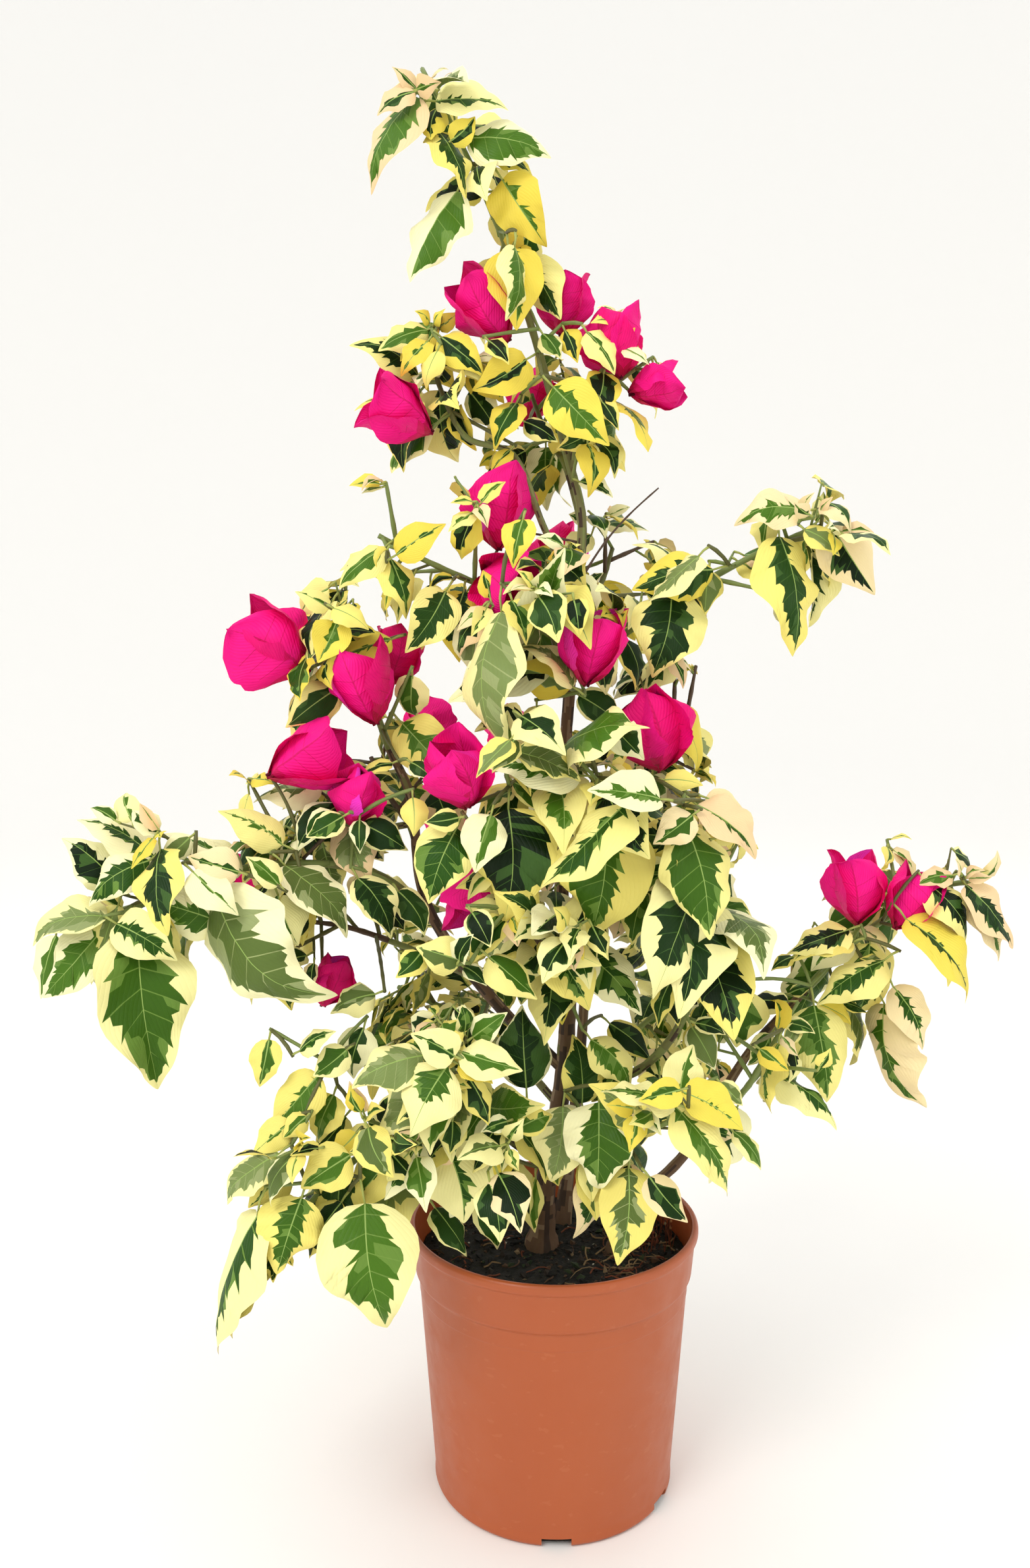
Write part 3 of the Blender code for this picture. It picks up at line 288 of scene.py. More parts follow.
stems = {
    "main_stem": {
        "way": [(-6, 4, 0), (-3, 3, 40), (5, 2, 90), (8, 0, 136)],
        "onSoil": True, "radius": (5.8, 4.4), "flare": 4.0, "sides": 10, "steps": 9},
    "right_stem": {
        "way": [(33, -3, 0), (45, -1, 25), (73, 3, 52), (106, 8, 104), (136, 5, 140)],
        "onSoil": True, "radius": (3.4, 2.1), "flare": 2.0, "sides": 8, "steps": 9},
    "back_stem": {
        "way": [(6, 30, 0), (14, 46, 60), (20, 60, 130), (14, 64, 190)],
        "onSoil": True, "radius": (3.8, 2.2), "flare": 2.0, "sides": 8, "steps": 8},
    "centre_stem": {
        "parent": "main_stem", "at": 1.0,
        "way": [(4, 2, 320), (5, 3, 380), (9, 1, 440), (12, 0, 480)],
        "radius": (4.1, 2.8), "sides": 8, "steps": 9},
    "leader": {
        "parent": "centre_stem", "at": 1.0,
        "way": [(14, 0, 515), (7, 5, 547), (-8, 5, 600), (-18, 1, 630)],
        "radius": (2.7, 1.8), "sides": 6, "steps": 8},
    "left_stem": {
        "parent": "main_stem", "at": 0.72,
        "way": [(-25, 10, 250), (-58, 5, 293), (-71, 0, 325), (-75, -5, 369), (-86, -8, 396)],
        "radius": (3.5, 2.2), "sides": 8, "steps": 10},
}

# what a branch takes where its own entry says nothing else
branchUsual = {"enter": 0.40, "radius": (2.1, 1.2), "twigs": 4, "spacing": 19, "blooms": []}
branches = {
    "top": {
        "parent": "leader", "at": 1.0, "enter": 0.0, "radius": (1.7, 1.1),
        "way": [(-26, -5, 652), (-46, -14, 694), (-66, -20, 729)],
        "twigs": 2, "twig": 29, "leaf": 50, "droop": (0.9, 2.2), "spacing": 18,
        "blooms": [((-34, -10, 617), (-6, -3, 8), 40)]},
    "upper_left": {
        "parent": "centre_stem", "at": 0.97, "enter": 0.66, "radius": (1.9, 1.2),
        "way": [(-6, -8, 510), (-21, -10, 545), (-46, -6, 556), (-60, 0, 584), (-66, 4, 612)],
        "twigs": 3, "twig": 29, "leaf": 38, "spacing": 17,
        "blooms": [((-76, -20, 563), (-8, -5, 4), 40)]},
    "upper_right": {
        "parent": "leader", "at": 0.45, "enter": 0.25, "radius": (1.9, 1.2),
        "way": [(14, -4, 572), (26, -8, 592), (34, -10, 612)],
        "twig": 42, "leaf": 42, "droop": (0.9, 2.2), "spacing": 17,
        "blooms": [((5, 8, 623), (1, 0, 10), 32), ((30, -8, 599), (-2, 0, 10), 36),
                   ((49, -10, 580), (9, -2, 2), 30)]},
    "left_high": {
        "parent": "centre_stem", "at": 0.9, "enter": 0.42,
        "way": [(-22, -8, 474), (-62, -18, 490), (-94, -28, 506)],
        "twig": 37, "leaf": 44, "droop": (0.9, 2.0),
        "blooms": [((-29, -14, 515), (0, -1, 10), 40), ((-27, -20, 481), (4, -6, -2), 42)]},
    "left_wing": {
        "parent": "left_stem", "at": 1.0, "enter": 0.0, "radius": (2.0, 1.2),
        "way": [(-96, -10, 424), (-106, -16, 448), (-114, -20, 468)],
        "twig": 40, "leaf": 40, "droop": (0.9, 2.0), "spacing": 18,
        "blooms": [((-141, -24, 447), (-8, -2, 6), 46), ((-96, -30, 426), (-3, -2, 9), 40),
                   ((-84, 6, 441), (3, 2, 9), 30)]},
    "left_mid": {
        "parent": "left_stem", "at": 0.74, "enter": 0.35, "radius": (1.9, 1.2),
        "way": [(-92, -22, 356), (-112, -30, 360), (-134, -30, 352)],
        "twigs": 3, "twig": 42, "leaf": 42, "spacing": 18,
        "blooms": [((-127, -34, 391), (9, -1, 4), 43), ((-101, -34, 371), (1, -3, 9), 32)]},
    "far_left": {
        "parent": "left_stem", "at": 0.5, "enter": 0.36, "radius": (2.4, 1.3),
        "way": [(-96, -22, 334), (-143, -38, 340), (-188, -42, 328), (-222, -42, 312)],
        "twigs": 3, "twig": 48, "leaf": 68, "droop": (1.0, 2.4), "spacing": 23},
    "left_low": {
        "parent": "left_stem", "at": 0.3, "enter": 0.45,
        "way": [(-78, 22, 284), (-112, 22, 296), (-138, 12, 302)],
        "twig": 40, "leaf": 42,
        "blooms": [((-161, 0, 322), (-2, 0, 8), 30), ((-119, -6, 271), (3, 0, 9), 28)]},
    "front_high": {
        "parent": "centre_stem", "at": 0.7,
        "way": [(4, -26, 436), (-4, -44, 458), (-10, -52, 474)],
        "twig": 42, "leaf": 50, "spacing": 18, "blooms": [((15, -62, 444), (1, -4, 9), 39)]},
    "front_mid": {
        "parent": "centre_stem", "at": 0.42, "radius": (2.3, 1.3),
        "way": [(-10, -28, 376), (-6, -56, 396), (12, -72, 402)],
        "twigs": 3, "twig": 44, "leaf": 62, "spacing": 20,
        "blooms": [((-47, -62, 385), (-2, -4, 9), 38)]},
    "front_right": {
        "parent": "main_stem", "at": 0.62, "enter": 0.72, "radius": (2.5, 1.4),
        "way": [(44, -26, 232), (66, -40, 268), (68, -46, 312), (74, -56, 372)],
        "twig": 42, "leaf": 60, "droop": (1.1, 2.4), "spacing": 20,
        "blooms": [((47, -44, 405), (-2, -3, 9), 45)]},
    "right_high": {
        "parent": "centre_stem", "at": 0.78, "enter": 0.3,
        "way": [(30, -12, 452), (62, -25, 474), (104, -35, 496), (128, -40, 506)],
        "twigs": 3, "twig": 44, "leaf": 54, "droop": (1.0, 2.4), "spacing": 23},
    "right_mid": {
        "parent": "centre_stem", "at": 0.56,
        "way": [(30, 4, 396), (58, 4, 412), (80, 0, 420)],
        "twig": 40, "leaf": 44, "droop": (1.0, 2.2)},
    "core_front": {
        "parent": "centre_stem", "at": 0.1, "enter": 0.35,
        "way": [(2, -24, 286), (-10, -46, 304), (-24, -62, 322)],
        "twig": 46, "leaf": 44, "spacing": 18, "blooms": [((-43, -24, 323), (1, -4, -8), 34)]},
    "core_right": {
        "parent": "centre_stem", "at": 0.22,
        "way": [(30, -8, 312), (56, -8, 328), (86, -8, 334)],
        "twig": 42, "leaf": 42, "spacing": 18},
    "low_front_left": {
        "parent": "main_stem", "at": 0.52, "enter": 0.38, "radius": (2.3, 1.3),
        "way": [(-18, -28, 200), (-40, -56, 224), (-54, -84, 246)],
        "twig": 51, "leaf": 48, "spacing": 18},
    "low_front_right": {
        "parent": "main_stem", "at": 0.4, "enter": 0.38, "radius": (2.3, 1.3),
        "way": [(16, -28, 186), (36, -54, 206), (52, -80, 224)],
        "twigs": 5, "twig": 48, "leaf": 48, "droop": (0.8, 2.0), "spacing": 18},
    "low_left": {
        "parent": "main_stem", "at": 0.34, "enter": 0.42, "radius": (2.5, 1.3),
        "way": [(-34, -22, 198), (-78, -48, 206), (-112, -68, 188), (-134, -74, 160)],
        "twig": 51, "leaf": 56, "droop": (0.9, 2.2)},
    "far_right": {
        "parent": "right_stem", "at": 1.0, "enter": 0.0,
        "way": [(160, 2, 292), (190, 0, 314), (210, -2, 324), (226, -4, 325)],
        "twigs": 3, "twig": 44, "leaf": 50, "droop": (1.0, 2.4), "spacing": 20,
        "blooms": [((158, -8, 320), (-1, -1, 10), 40), ((185, -14, 316), (5, 0, 8), 36)]},
    "right_low": {
        "parent": "right_stem", "at": 0.62, "enter": 0.3, "radius": (1.9, 1.2),
        "way": [(96, -22, 216), (104, -34, 236), (112, -42, 256)],
        "twig": 44, "leaf": 46},
    "back_low_left": {
        "parent": "main_stem", "at": 0.58, "enter": 0.42, "radius": (2.3, 1.3),
        "way": [(-26, 30, 226), (-62, 60, 240), (-92, 82, 248)],
        "twig": 51, "leaf": 50, "blooms": [((-60, 104, 330), None, 38)]},
    "back_low_right": {
        "parent": "back_stem", "at": 0.42, "radius": (2.1, 1.3),
        "way": [(44, 70, 218), (72, 84, 236), (94, 88, 250)],
        "twig": 51, "leaf": 50, "blooms": [((70, 118, 286), None, 38)]},
    "back_mid": {
        "parent": "back_stem", "at": 1.0, "enter": 0.0,
        "way": [(4, 70, 344), (-8, 78, 376), (-14, 80, 402)],
        "twig": 51, "leaf": 48, "blooms": [((-22, 114, 392), None, 38)]},
    "back_left": {
        "parent": "left_stem", "at": 0.58, "radius": (2.0, 1.2),
        "way": [(-78, 26, 350), (-96, 48, 372), (-106, 62, 394)],
        "twig": 46, "leaf": 46, "blooms": [((-72, 88, 402), None, 36)]},
    "back_right": {
        "parent": "centre_stem", "at": 0.34, "enter": 0.46, "radius": (2.0, 1.2),
        "way": [(26, 28, 346), (50, 46, 364), (64, 56, 382)],
        "twig": 46, "leaf": 48, "blooms": [((66, 92, 404), None, 38)]},
    "back_high": {
        "parent": "centre_stem", "at": 0.84, "enter": 0.42, "radius": (2.0, 1.2),
        "way": [(18, 22, 470), (28, 40, 488), (34, 50, 506)],
        "twig": 42, "leaf": 44, "blooms": [((4, 84, 506), None, 36)]},
    "back_top": {
        "parent": "leader", "at": 0.22, "radius": (1.8, 1.1),
        "way": [(6, 20, 546), (-4, 32, 566), (-12, 36, 588)],
        "twig": 37, "leaf": 40, "spacing": 18, "blooms": [((-14, 64, 590), None, 36)]},
}
branches = {name: {**branchUsual, **spec} for name, spec in branches.items()}

# gaps in the crown that stay open, as the viewer sees them: across, down and radius, in
# thousandths of the distance ahead
openings = [
    (83, -187, 22), (166, -219, 25), (189, -148, 25), (197, -105, 27), (170, -73, 25),
    (189, -37, 24), (288, -148, 24), (221, -97, 19), (205, 81, 24), (237, 300, 30), (128, 315, 19),
    (118, -385, 16), (136, -363, 11), (136, -298, 17), (59, -418, 14), (39, -452, 12),
    (-81, -517, 22), (-125, -584, 14), (-57, -615, 9), (-46, -472, 13), (-75, -262, 19),
    (-130, -217, 21), (-120, -168, 13), (-138, -39, 22), (-259, 8, 24), (-141, 128, 28),
    (-109, 160, 13), (-241, 152, 14), (-174, 440, 33), (-264, 405, 14), (343, 152, 17),
    (317, 227, 13), (409, 140, 16), (186, 231, 11), (-95, -407, 11), (-63, -93, 16),
    (-63, -195, 11),
    (83, -424, 21), (118, -434, 24), (178, -251, 24), (159, -116, 17), (202, 2, 19), (218, 27, 16),
    (-106, -238, 13), (-197, -156, 11)
]

# leaves that stand out: blade foot, tip, width, facing, greenness on either side, margin and centre
# tone, and how far up the green goes if not 92
placed = {}
placed["top"] = [
    (-69, -29, 712, -94, -32, 669, 31, -5, -8, 3, 40, 80, "kg"),
    (-59, -28, 710, -24, -31, 708, 22, -1, -9, 4, 45, 5, "pg"),
    (-44, -25, 694, -3, -28, 686, 26, 0, -9, 3, 75, 45, "pg"),
    (-58, -26, 697, -43, -34, 664, 23, 5, -8, 4, 50, 50, "wd"),
    (-52, -25, 693, -40, -28, 703, 12, 1, -9, -4, 70, 10, "yd"),
    (-27, -20, 677, -6, -23, 645, 26, -2, -10, -1, 2, 14, "yg"),
    (-49, -21, 671, -73, -24, 627, 31, -5, -8, 3, 3, 85, "pg"),
    (-23, -14, 646, -17, -22, 653, 10, -2, -7, -6, 0, 0, "yg"),
    (-24, -14, 646, -20, -17, 606, 28, 0, -10, 1, 3, 30, "yg"),
    (-21, -26, 643, -23, -29, 607, 22, 9, -5, 0, 60, 50, "pg"),
    (-68, -29, 715, -78, -37, 722, 9, 5, -8, -2, 10, 30, "kg"),
    (-68, -29, 715, -57, -37, 714, 11, -5, -7, -5, 30, 10, "kg"),
    (-69, -29, 714, -87, -32, 703, 13, 0, -10, 3, 20, 30, "kd"),
    (-7, -17, 604, 2, -25, 590, 12, 0, -9, 5, 70, 60, "pg"),
    (-34, -15, 601, -24, -23, 589, 11, -1, -9, 5, 70, 70, "wd"),
]
placed["upper_left"] = [
    (-65, -6, 609, -90, -9, 598, 17, -1, -9, 4, 30, 50, "wg"),
    (-65, -7, 603, -79, -10, 586, 14, -2, -9, 3, 5, 10, "yg"),
    (-60, -8, 598, -67, -11, 580, 12, -4, -8, 3, 0, 3, "wg"),
    (-58, -7, 605, -36, -10, 587, 18, 1, -9, 3, 60, 40, "yd"),
    (-64, -6, 612, -70, -14, 616, 7, 8, -6, -1, 0, 10, "yg"),
    (-62, -6, 612, -57, -14, 617, 7, -7, -7, -2, 0, 10, "yg"),
    (-60, -6, 610, -49, -9, 617, 9, 0, -9, -3, 5, 5, "yg"),
    (-57, -9, 587, -54, -17, 565, 14, 6, -7, 4, 50, 30, "yg"),
    (-23, -12, 548, -34, -15, 536, 10, -2, -9, 4, 10, 30, "yd"),
]
placed["upper_right"] = [
    (-2, -29, 575, 25, -37, 545, 25, -3, -10, 0, 50, 35, "yg"),
    (4, -19, 605, 10, -27, 587, 12, -3, -9, 3, 50, 30, "yd"),
    (15, -19, 604, 29, -22, 583, 16, 3, -9, 3, 20, 20, "wg"),
    (23, -15, 571, 31, -23, 556, 11, 0, -9, 5, 80, 60, "wd"),
    (18, -12, 557, 1, -15, 548, 12, 2, -10, -1, 70, 70, "wd"),
    (-15, -15, 592, -42, -18, 576, 21, 2, -10, -2, 10, 35, "yd"),
    (-20, -13, 571, -32, -21, 548, 17, -2, -9, 4, 50, 50, "yg"),
    (-16, -12, 562, 1, -15, 551, 13, 1, -9, 3, 80, 80, "wd"),
    (33, -19, 596, 46, -22, 588, 9, 0, -9, 4, 10, 10, "pg"),
    (16, -12, 551, 18, -20, 525, 17, 4, -9, 3, 15, 10, "yg"),
    (21, -12, 552, 30, -20, 534, 14, 2, -9, 5, 85, 70, "wd"),
    (16, -12, 554, 1, -15, 547, 10, 2, -10, -1, 70, 70, "wd"),
    (12, -12, 532, 29, -15, 524, 11, 2, -8, 6, 60, 50, "pd"),
]
placed["left_high"] = [
    (-55, -34, 475, -74, -42, 445, 23, 2, -10, 1, 55, 60, "wd"),
    (-80, -32, 484, -84, -40, 465, 13, -6, -7, 4, 5, 15, "yg"),
    (-79, -33, 493, -55, -36, 508, 18, -2, -10, 1, 10, 5, "yg"),
    (-85, -35, 496, -108, -38, 477, 18, -2, -9, 4, 30, 50, "wg"),
    (-82, -34, 491, -72, -42, 463, 19, 4, -8, 4, 40, 40, "wg"),
]
placed["left_wing"] = [
    (-111, -24, 427, -135, -32, 408, 20, 3, -10, 1, 55, 85, "wd"),
    (-110, -28, 460, -118, -36, 440, 19, 3, -9, 3, 10, 30, "yg"),
    (-83, -21, 452, -115, -24, 440, 21, -2, -8, 6, 5, 10, "yg"),
    (-109, -28, 456, -89, -31, 454, 13, 0, -6, 8, 70, 50, "yd"),
    (-111, -30, 467, -93, -33, 457, 13, 2, -8, 6, 0, 2, "wg"),
    (-113, -30, 467, -129, -33, 476, 12, 3, -9, 2, 15, 5, "wg"),
    (-114, -29, 463, -110, -32, 444, 12, 9, -4, 2, 10, 10, "yg"),
    (-82, -31, 390, -98, -34, 384, 11, -2, -6, 8, 20, 70, "wd"),
    (-67, -16, 404, -83, -19, 397, 11, 0, -9, 4, 90, 90, "ps"),
    (-72, -42, 391, -60, -50, 383, 10, -1, -7, 7, 85, 85, "pd"),
]
placed["left_mid"] = [
    (-133, -50, 341, -99, -53, 310, 29, 6, -4, 7, 85, 80, "ps"),
    (-99, -39, 333, -81, -47, 305, 22, 4, -7, 5, 85, 80, "pd"),
    (-80, -29, 325, -65, -37, 305, 16, 3, -8, 6, 90, 90, "pd"),
    (-97, -35, 360, -74, -38, 347, 17, 0, -10, 2, 90, 85, "pd"),
    (-98, -37, 362, -97, -45, 347, 10, 1, -9, 5, 80, 80, "pd"),
    (-110, -40, 364, -124, -43, 355, 14, 1, -10, 1, 80, 70, "pg"),
    (-128, -40, 332, -128, -48, 310, 16, 2, -9, 3, 80, 50, "wd"),
    (-136, -40, 350, -167, -43, 367, 22, 4, -7, 6, 10, 15, "wg"),
    (-106, -39, 364, -124, -42, 354, 13, 0, -9, 3, 85, 80, "pg"),
    (-70, -55, 375, -69, -63, 357, 13, 1, -9, 4, 0, 0, "wg"),
]
placed["far_left"] = [
    (-202, -62, 309, -189, -76, 238, 46, 5, -8, 3, 79, 76, "pg"),
    (-219, -58, 312, -248, -64, 279, 27, -1, -10, 2, 50, 80, "pg"),
    (-245, -52, 307, -252, -55, 276, 20, -3, -9, 2, 30, 50, "pg"),
    (-220, -52, 316, -257, -55, 306, 24, -2, -5, 8, 30, 80, "ps"),
    (-211, -64, 315, -182, -67, 298, 21, 1, -9, 4, 50, 40, "pg"),
    (-196, -60, 345, -224, -68, 325, 22, 0, -9, 4, 35, 80, "pg"),
    (-194, -52, 343, -232, -55, 365, 27, 5, -5, 7, 15, 35, "pg"),
    (-160, -59, 314, -196, -62, 326, 25, 2, -10, 2, 25, 60, "pg"),
    (-179, -51, 355, -193, -54, 344, 12, 2, -10, 0, 80, 80, "ps"),
    (-155, -44, 337, -194, -47, 358, 27, 5, -4, 8, 10, 10, "pg"),
    (-163, -67, 333, -111, -81, 279, 47, -4, -9, -2, 75, 55, "ps"),
    (-188, -56, 323, -154, -59, 305, 24, 4, -5, 8, 0, 0, "yg"),
    (-136, -53, 327, -125, -61, 304, 24, 1, -9, 4, 10, 0, "pg"),
    (-156, -50, 338, -179, -53, 346, 18, 2, -10, 2, 20, 20, "kg"),
    (-219, -52, 312, -241, -55, 324, 16, 5, -5, 7, 10, 20, "kg"),
    (-137, -47, 331, -152, -50, 345, 13, 5, -8, 4, 50, 50, "pg"),
    (-174, -64, 340, -152, -67, 321, 18, 3, -8, 5, 5, 5, "pg"),
]
placed["front_high"] = [
    (-27, -65, 463, -28, -71, 398, 41, -8, -5, 1, 35, 85, "ps"),
    (7, -46, 428, -23, -49, 438, 21, 1, -10, 0, 0, 40, "ys"),
    (7, -50, 428, -21, -53, 449, 22, 5, -6, 6, 50, 20, "ps"),
    (-22, -66, 468, -15, -74, 448, 14, 2, -9, 4, 40, 40, "wg"),
    (-10, -38, 419, -10, -46, 405, 14, 0, -9, 5, 0, 0, "wg"),
    (11, -34, 424, 33, -37, 409, 16, 1, -10, 3, 95, 95, "pd"),
    (-17, -68, 505, -22, -76, 483, 15, -2, -9, 4, 30, 40, "yg"),
]
placed["front_mid"] = [
    (-24, -46, 368, -26, -54, 314, 39, 0, -10, 1, 85, 80, "wd", 72),
    (-32, -70, 368, -39, -78, 342, 21, 1, -10, 3, 10, 60, "pg"),
    (10, -48, 385, -32, -51, 390, 27, 1, -7, 7, 15, 45, "pg"),
    (23, -60, 362, 15, -68, 309, 45, -1, -10, 2, 80, 40, "wg"),
    (29, -92, 375, -9, -98, 337, 33, -5, -6, 6, 20, 45, "wg"),
    (-21, -42, 381, 0, -50, 365, 17, 2, -7, 7, 90, 90, "wg"),
    (-21, -57, 397, 10, -60, 383, 21, 3, -5, 8, 80, 80, "ws"),
    (-22, -42, 377, -36, -50, 366, 12, -2, -7, 7, 60, 60, "wg"),
]
placed["front_right"] = [
    (45, -88, 377, 12, -91, 381, 20, 2, -8, 6, 15, 35, "pg"),
    (59, -78, 363, 68, -88, 312, 33, 3, -9, 2, 85, 55, "wg"),
    (61, -81, 369, 43, -84, 356, 17, 0, -10, 2, 20, 50, "kg"),
    (64, -74, 373, 92, -82, 351, 22, 3, -7, 6, 30, 0, "kg"),
    (69, -68, 376, 87, -71, 370, 13, -1, -10, 1, 0, 0, "kg"),
    (50, -64, 384, 68, -67, 382, 11, -1, -9, 5, 0, 0, "wg"),
    (60, -45, 302, 72, -53, 281, 20, -2, -9, 3, 95, 95, "ps"),
    (56, -44, 281, 49, -52, 261, 14, -6, -6, 5, 60, 60, "wd"),
    (57, -44, 277, 60, -52, 262, 11, 1, -9, 5, 90, 90, "wd"),
    (69, -44, 261, 84, -47, 256, 10, 1, -7, 7, 80, 80, "pd"),
]
placed["right_high"] = [
    (106, -48, 500, 114, -56, 443, 36, 5, -9, 2, 55, 35, "wd"),
    (131, -48, 505, 152, -51, 472, 25, 0, -10, 1, 55, 2, "kd"),
    (118, -47, 512, 85, -50, 508, 21, 0, -9, 5, 15, 60, "kg"),
    (101, -42, 509, 97, -50, 493, 13, -1, -9, 5, 40, 20, "wg"),
    (118, -49, 503, 134, -52, 490, 13, 1, -10, 3, 70, 50, "ws"),
    (76, -40, 485, 36, -43, 475, 25, 0, -9, 4, 35, 80, "yd"),
    (56, -38, 473, 46, -46, 434, 35, -1, -10, 2, 55, 65, "wd"),
    (74, -39, 485, 71, -47, 463, 15, -1, -9, 4, 75, 75, "ws"),
    (34, -20, 453, 42, -28, 428, 17, 4, -8, 4, 80, 80, "wd"),
    (68, -45, 491, 43, -48, 468, 22, -5, -6, 7, 50, 50, "ps"),
    (57, -24, 444, 65, -27, 428, 11, 4, -8, 4, 30, 30, "kg"),
    (117, -49, 510, 119, -57, 519, 7, -9, -4, -2, 0, 10, "kg"),
    (125, -50, 511, 129, -58, 517, 6, -9, -4, 0, 0, 10, "kg"),
    (120, -50, 510, 111, -58, 514, 8, 4, -7, -5, 10, 20, "kg"),
]
placed["right_mid"] = [
    (28, -30, 396, 13, -33, 390, 11, -1, -8, 6, 10, 60, "wd"),
    (60, -2, 419, 78, -5, 386, 23, 5, -8, 4, 0, 0, "yg"),
]
placed["core_front"] = [
    (-47, -72, 367, -63, -75, 365, 11, 2, -10, 1, 70, 60, "wd"),
    (17, -45, 253, 38, -53, 229, 21, 4, -7, 6, 70, 10, "wg"),
    (-46, -76, 300, -67, -79, 307, 18, 2, -10, 2, 10, 60, "ws"),
    (-33, -73, 301, -10, -81, 283, 19, 2, -8, 6, 10, 70, "wg"),
    (-41, -72, 322, -32, -80, 307, 13, -1, -9, 4, 90, 85, "pd"),
    (-47, -71, 299, -40, -79, 313, 11, -6, -8, -2, 80, 80, "pd"),
    (-45, -68, 295, -34, -76, 288, 9, -1, -7, 7, 80, 80, "pd"),
    (-4, -36, 283, 3, -44, 260, 17, 0, -9, 3, 50, 60, "yd"),
    (-48, -70, 362, -61, -78, 327, 27, 1, -10, 2, 70, 70, "wg"),
    (-65, -72, 303, -76, -80, 293, 13, 3, -9, 4, 60, 60, "wg"),
    (28, -23, 255, 50, -26, 236, 18, 4, -7, 6, 85, 85, "wd"),
]
placed["core_right"] = [
    (45, -28, 325, 38, -36, 299, 18, -1, -9, 3, 70, 70, "wg"),
    (57, -26, 307, 52, -34, 286, 16, -1, -9, 4, 75, 75, "wd"),
    (80, -18, 307, 100, -21, 296, 14, 2, -7, 6, 60, 60, "wg"),
    (81, -16, 317, 100, -19, 306, 14, 2, -8, 5, 20, 20, "wg"),
]
placed["low_front_left"] = [
    (-51, -106, 259, -67, -118, 231, 27, 1, -9, 4, 45, 50, "pg", 50),
    (-48, -98, 261, -67, -101, 272, 17, 3, -9, 2, 10, 30, "pg"),
    (-45, -102, 264, -17, -105, 257, 18, 1, -7, 7, 45, 15, "pg"),
    (-46, -106, 260, -30, -109, 253, 11, 2, -7, 7, 30, 0, "yg"),
    (-62, -100, 262, -94, -108, 251, 22, -1, -7, 7, 55, 90, "ps"),
    (-28, -60, 217, -41, -68, 194, 17, -4, -8, 5, 60, 75, "wd"),
    (-21, -47, 209, -4, -55, 184, 19, 6, -6, 6, 30, 40, "wg"),
    (-37, -35, 168, -28, -43, 144, 17, 5, -7, 4, 85, 85, "pg"),
    (-23, -35, 184, -14, -38, 158, 17, 7, -6, 3, 85, 10, "wd"),
    (-10, -33, 177, -11, -36, 149, 17, -8, -6, 1, 25, 80, "wg"),
    (-40, -92, 268, -25, -95, 280, 13, -3, -10, 1, 80, 70, "pg"),
    (-44, -90, 270, -45, -98, 285, 10, 5, -8, -4, 80, 80, "pg"),
    (-50, -82, 225, -51, -90, 212, 14, 1, -9, 5, 50, 50, "wd"),
    (-42, -87, 247, -32, -90, 226, 15, 6, -7, 4, 70, 30, "wd"),
    (-15, -45, 228, -17, -35, 268, 28, 0, -10, 2, 95, 85, "pd"),
]
placed["low_front_right"] = [
    (13, -41, 219, 10, -33, 252, 21, 4, -9, 3, 85, 75, "wd"),
    (3, -51, 221, -3, -61, 186, 28, 0, -10, 3, 50, 55, "ps"),
    (20, -62, 227, 19, -70, 186, 33, -1, -10, 2, 55, 80, "pg"),
    (54, -100, 246, 35, -103, 242, 13, 1, -9, 4, 40, 20, "yg"),
    (56, -86, 241, 63, -80, 261, 18, -1, -9, 3, 35, 5, "pg"),
    (52, -100, 238, 78, -108, 201, 28, 5, -7, 5, 60, 10, "wg"),
    (80, -90, 223, 93, -93, 206, 13, 7, -5, 6, 60, 60, "pg"),
    (56, -94, 243, 83, -97, 226, 20, 3, -7, 7, 5, 5, "yg"),
    (75, -84, 244, 85, -87, 234, 9, -1, -10, 2, 80, 80, "ps"),
    (27, -36, 169, 40, -44, 175, 10, -6, -3, 8, 80, 80, "pd"),
    (51, -100, 239, 18, -103, 247, 21, 2, -3, 9, 30, 30, "pg"),
    (-2, -39, 185, 1, -47, 179, 10, -2, -6, 7, 50, 50, "wg"),
]
placed["left_low"] = [
    (-90, -45, 276, -112, -51, 269, 17, -1, -8, 5, 60, 40, "ps"),
]
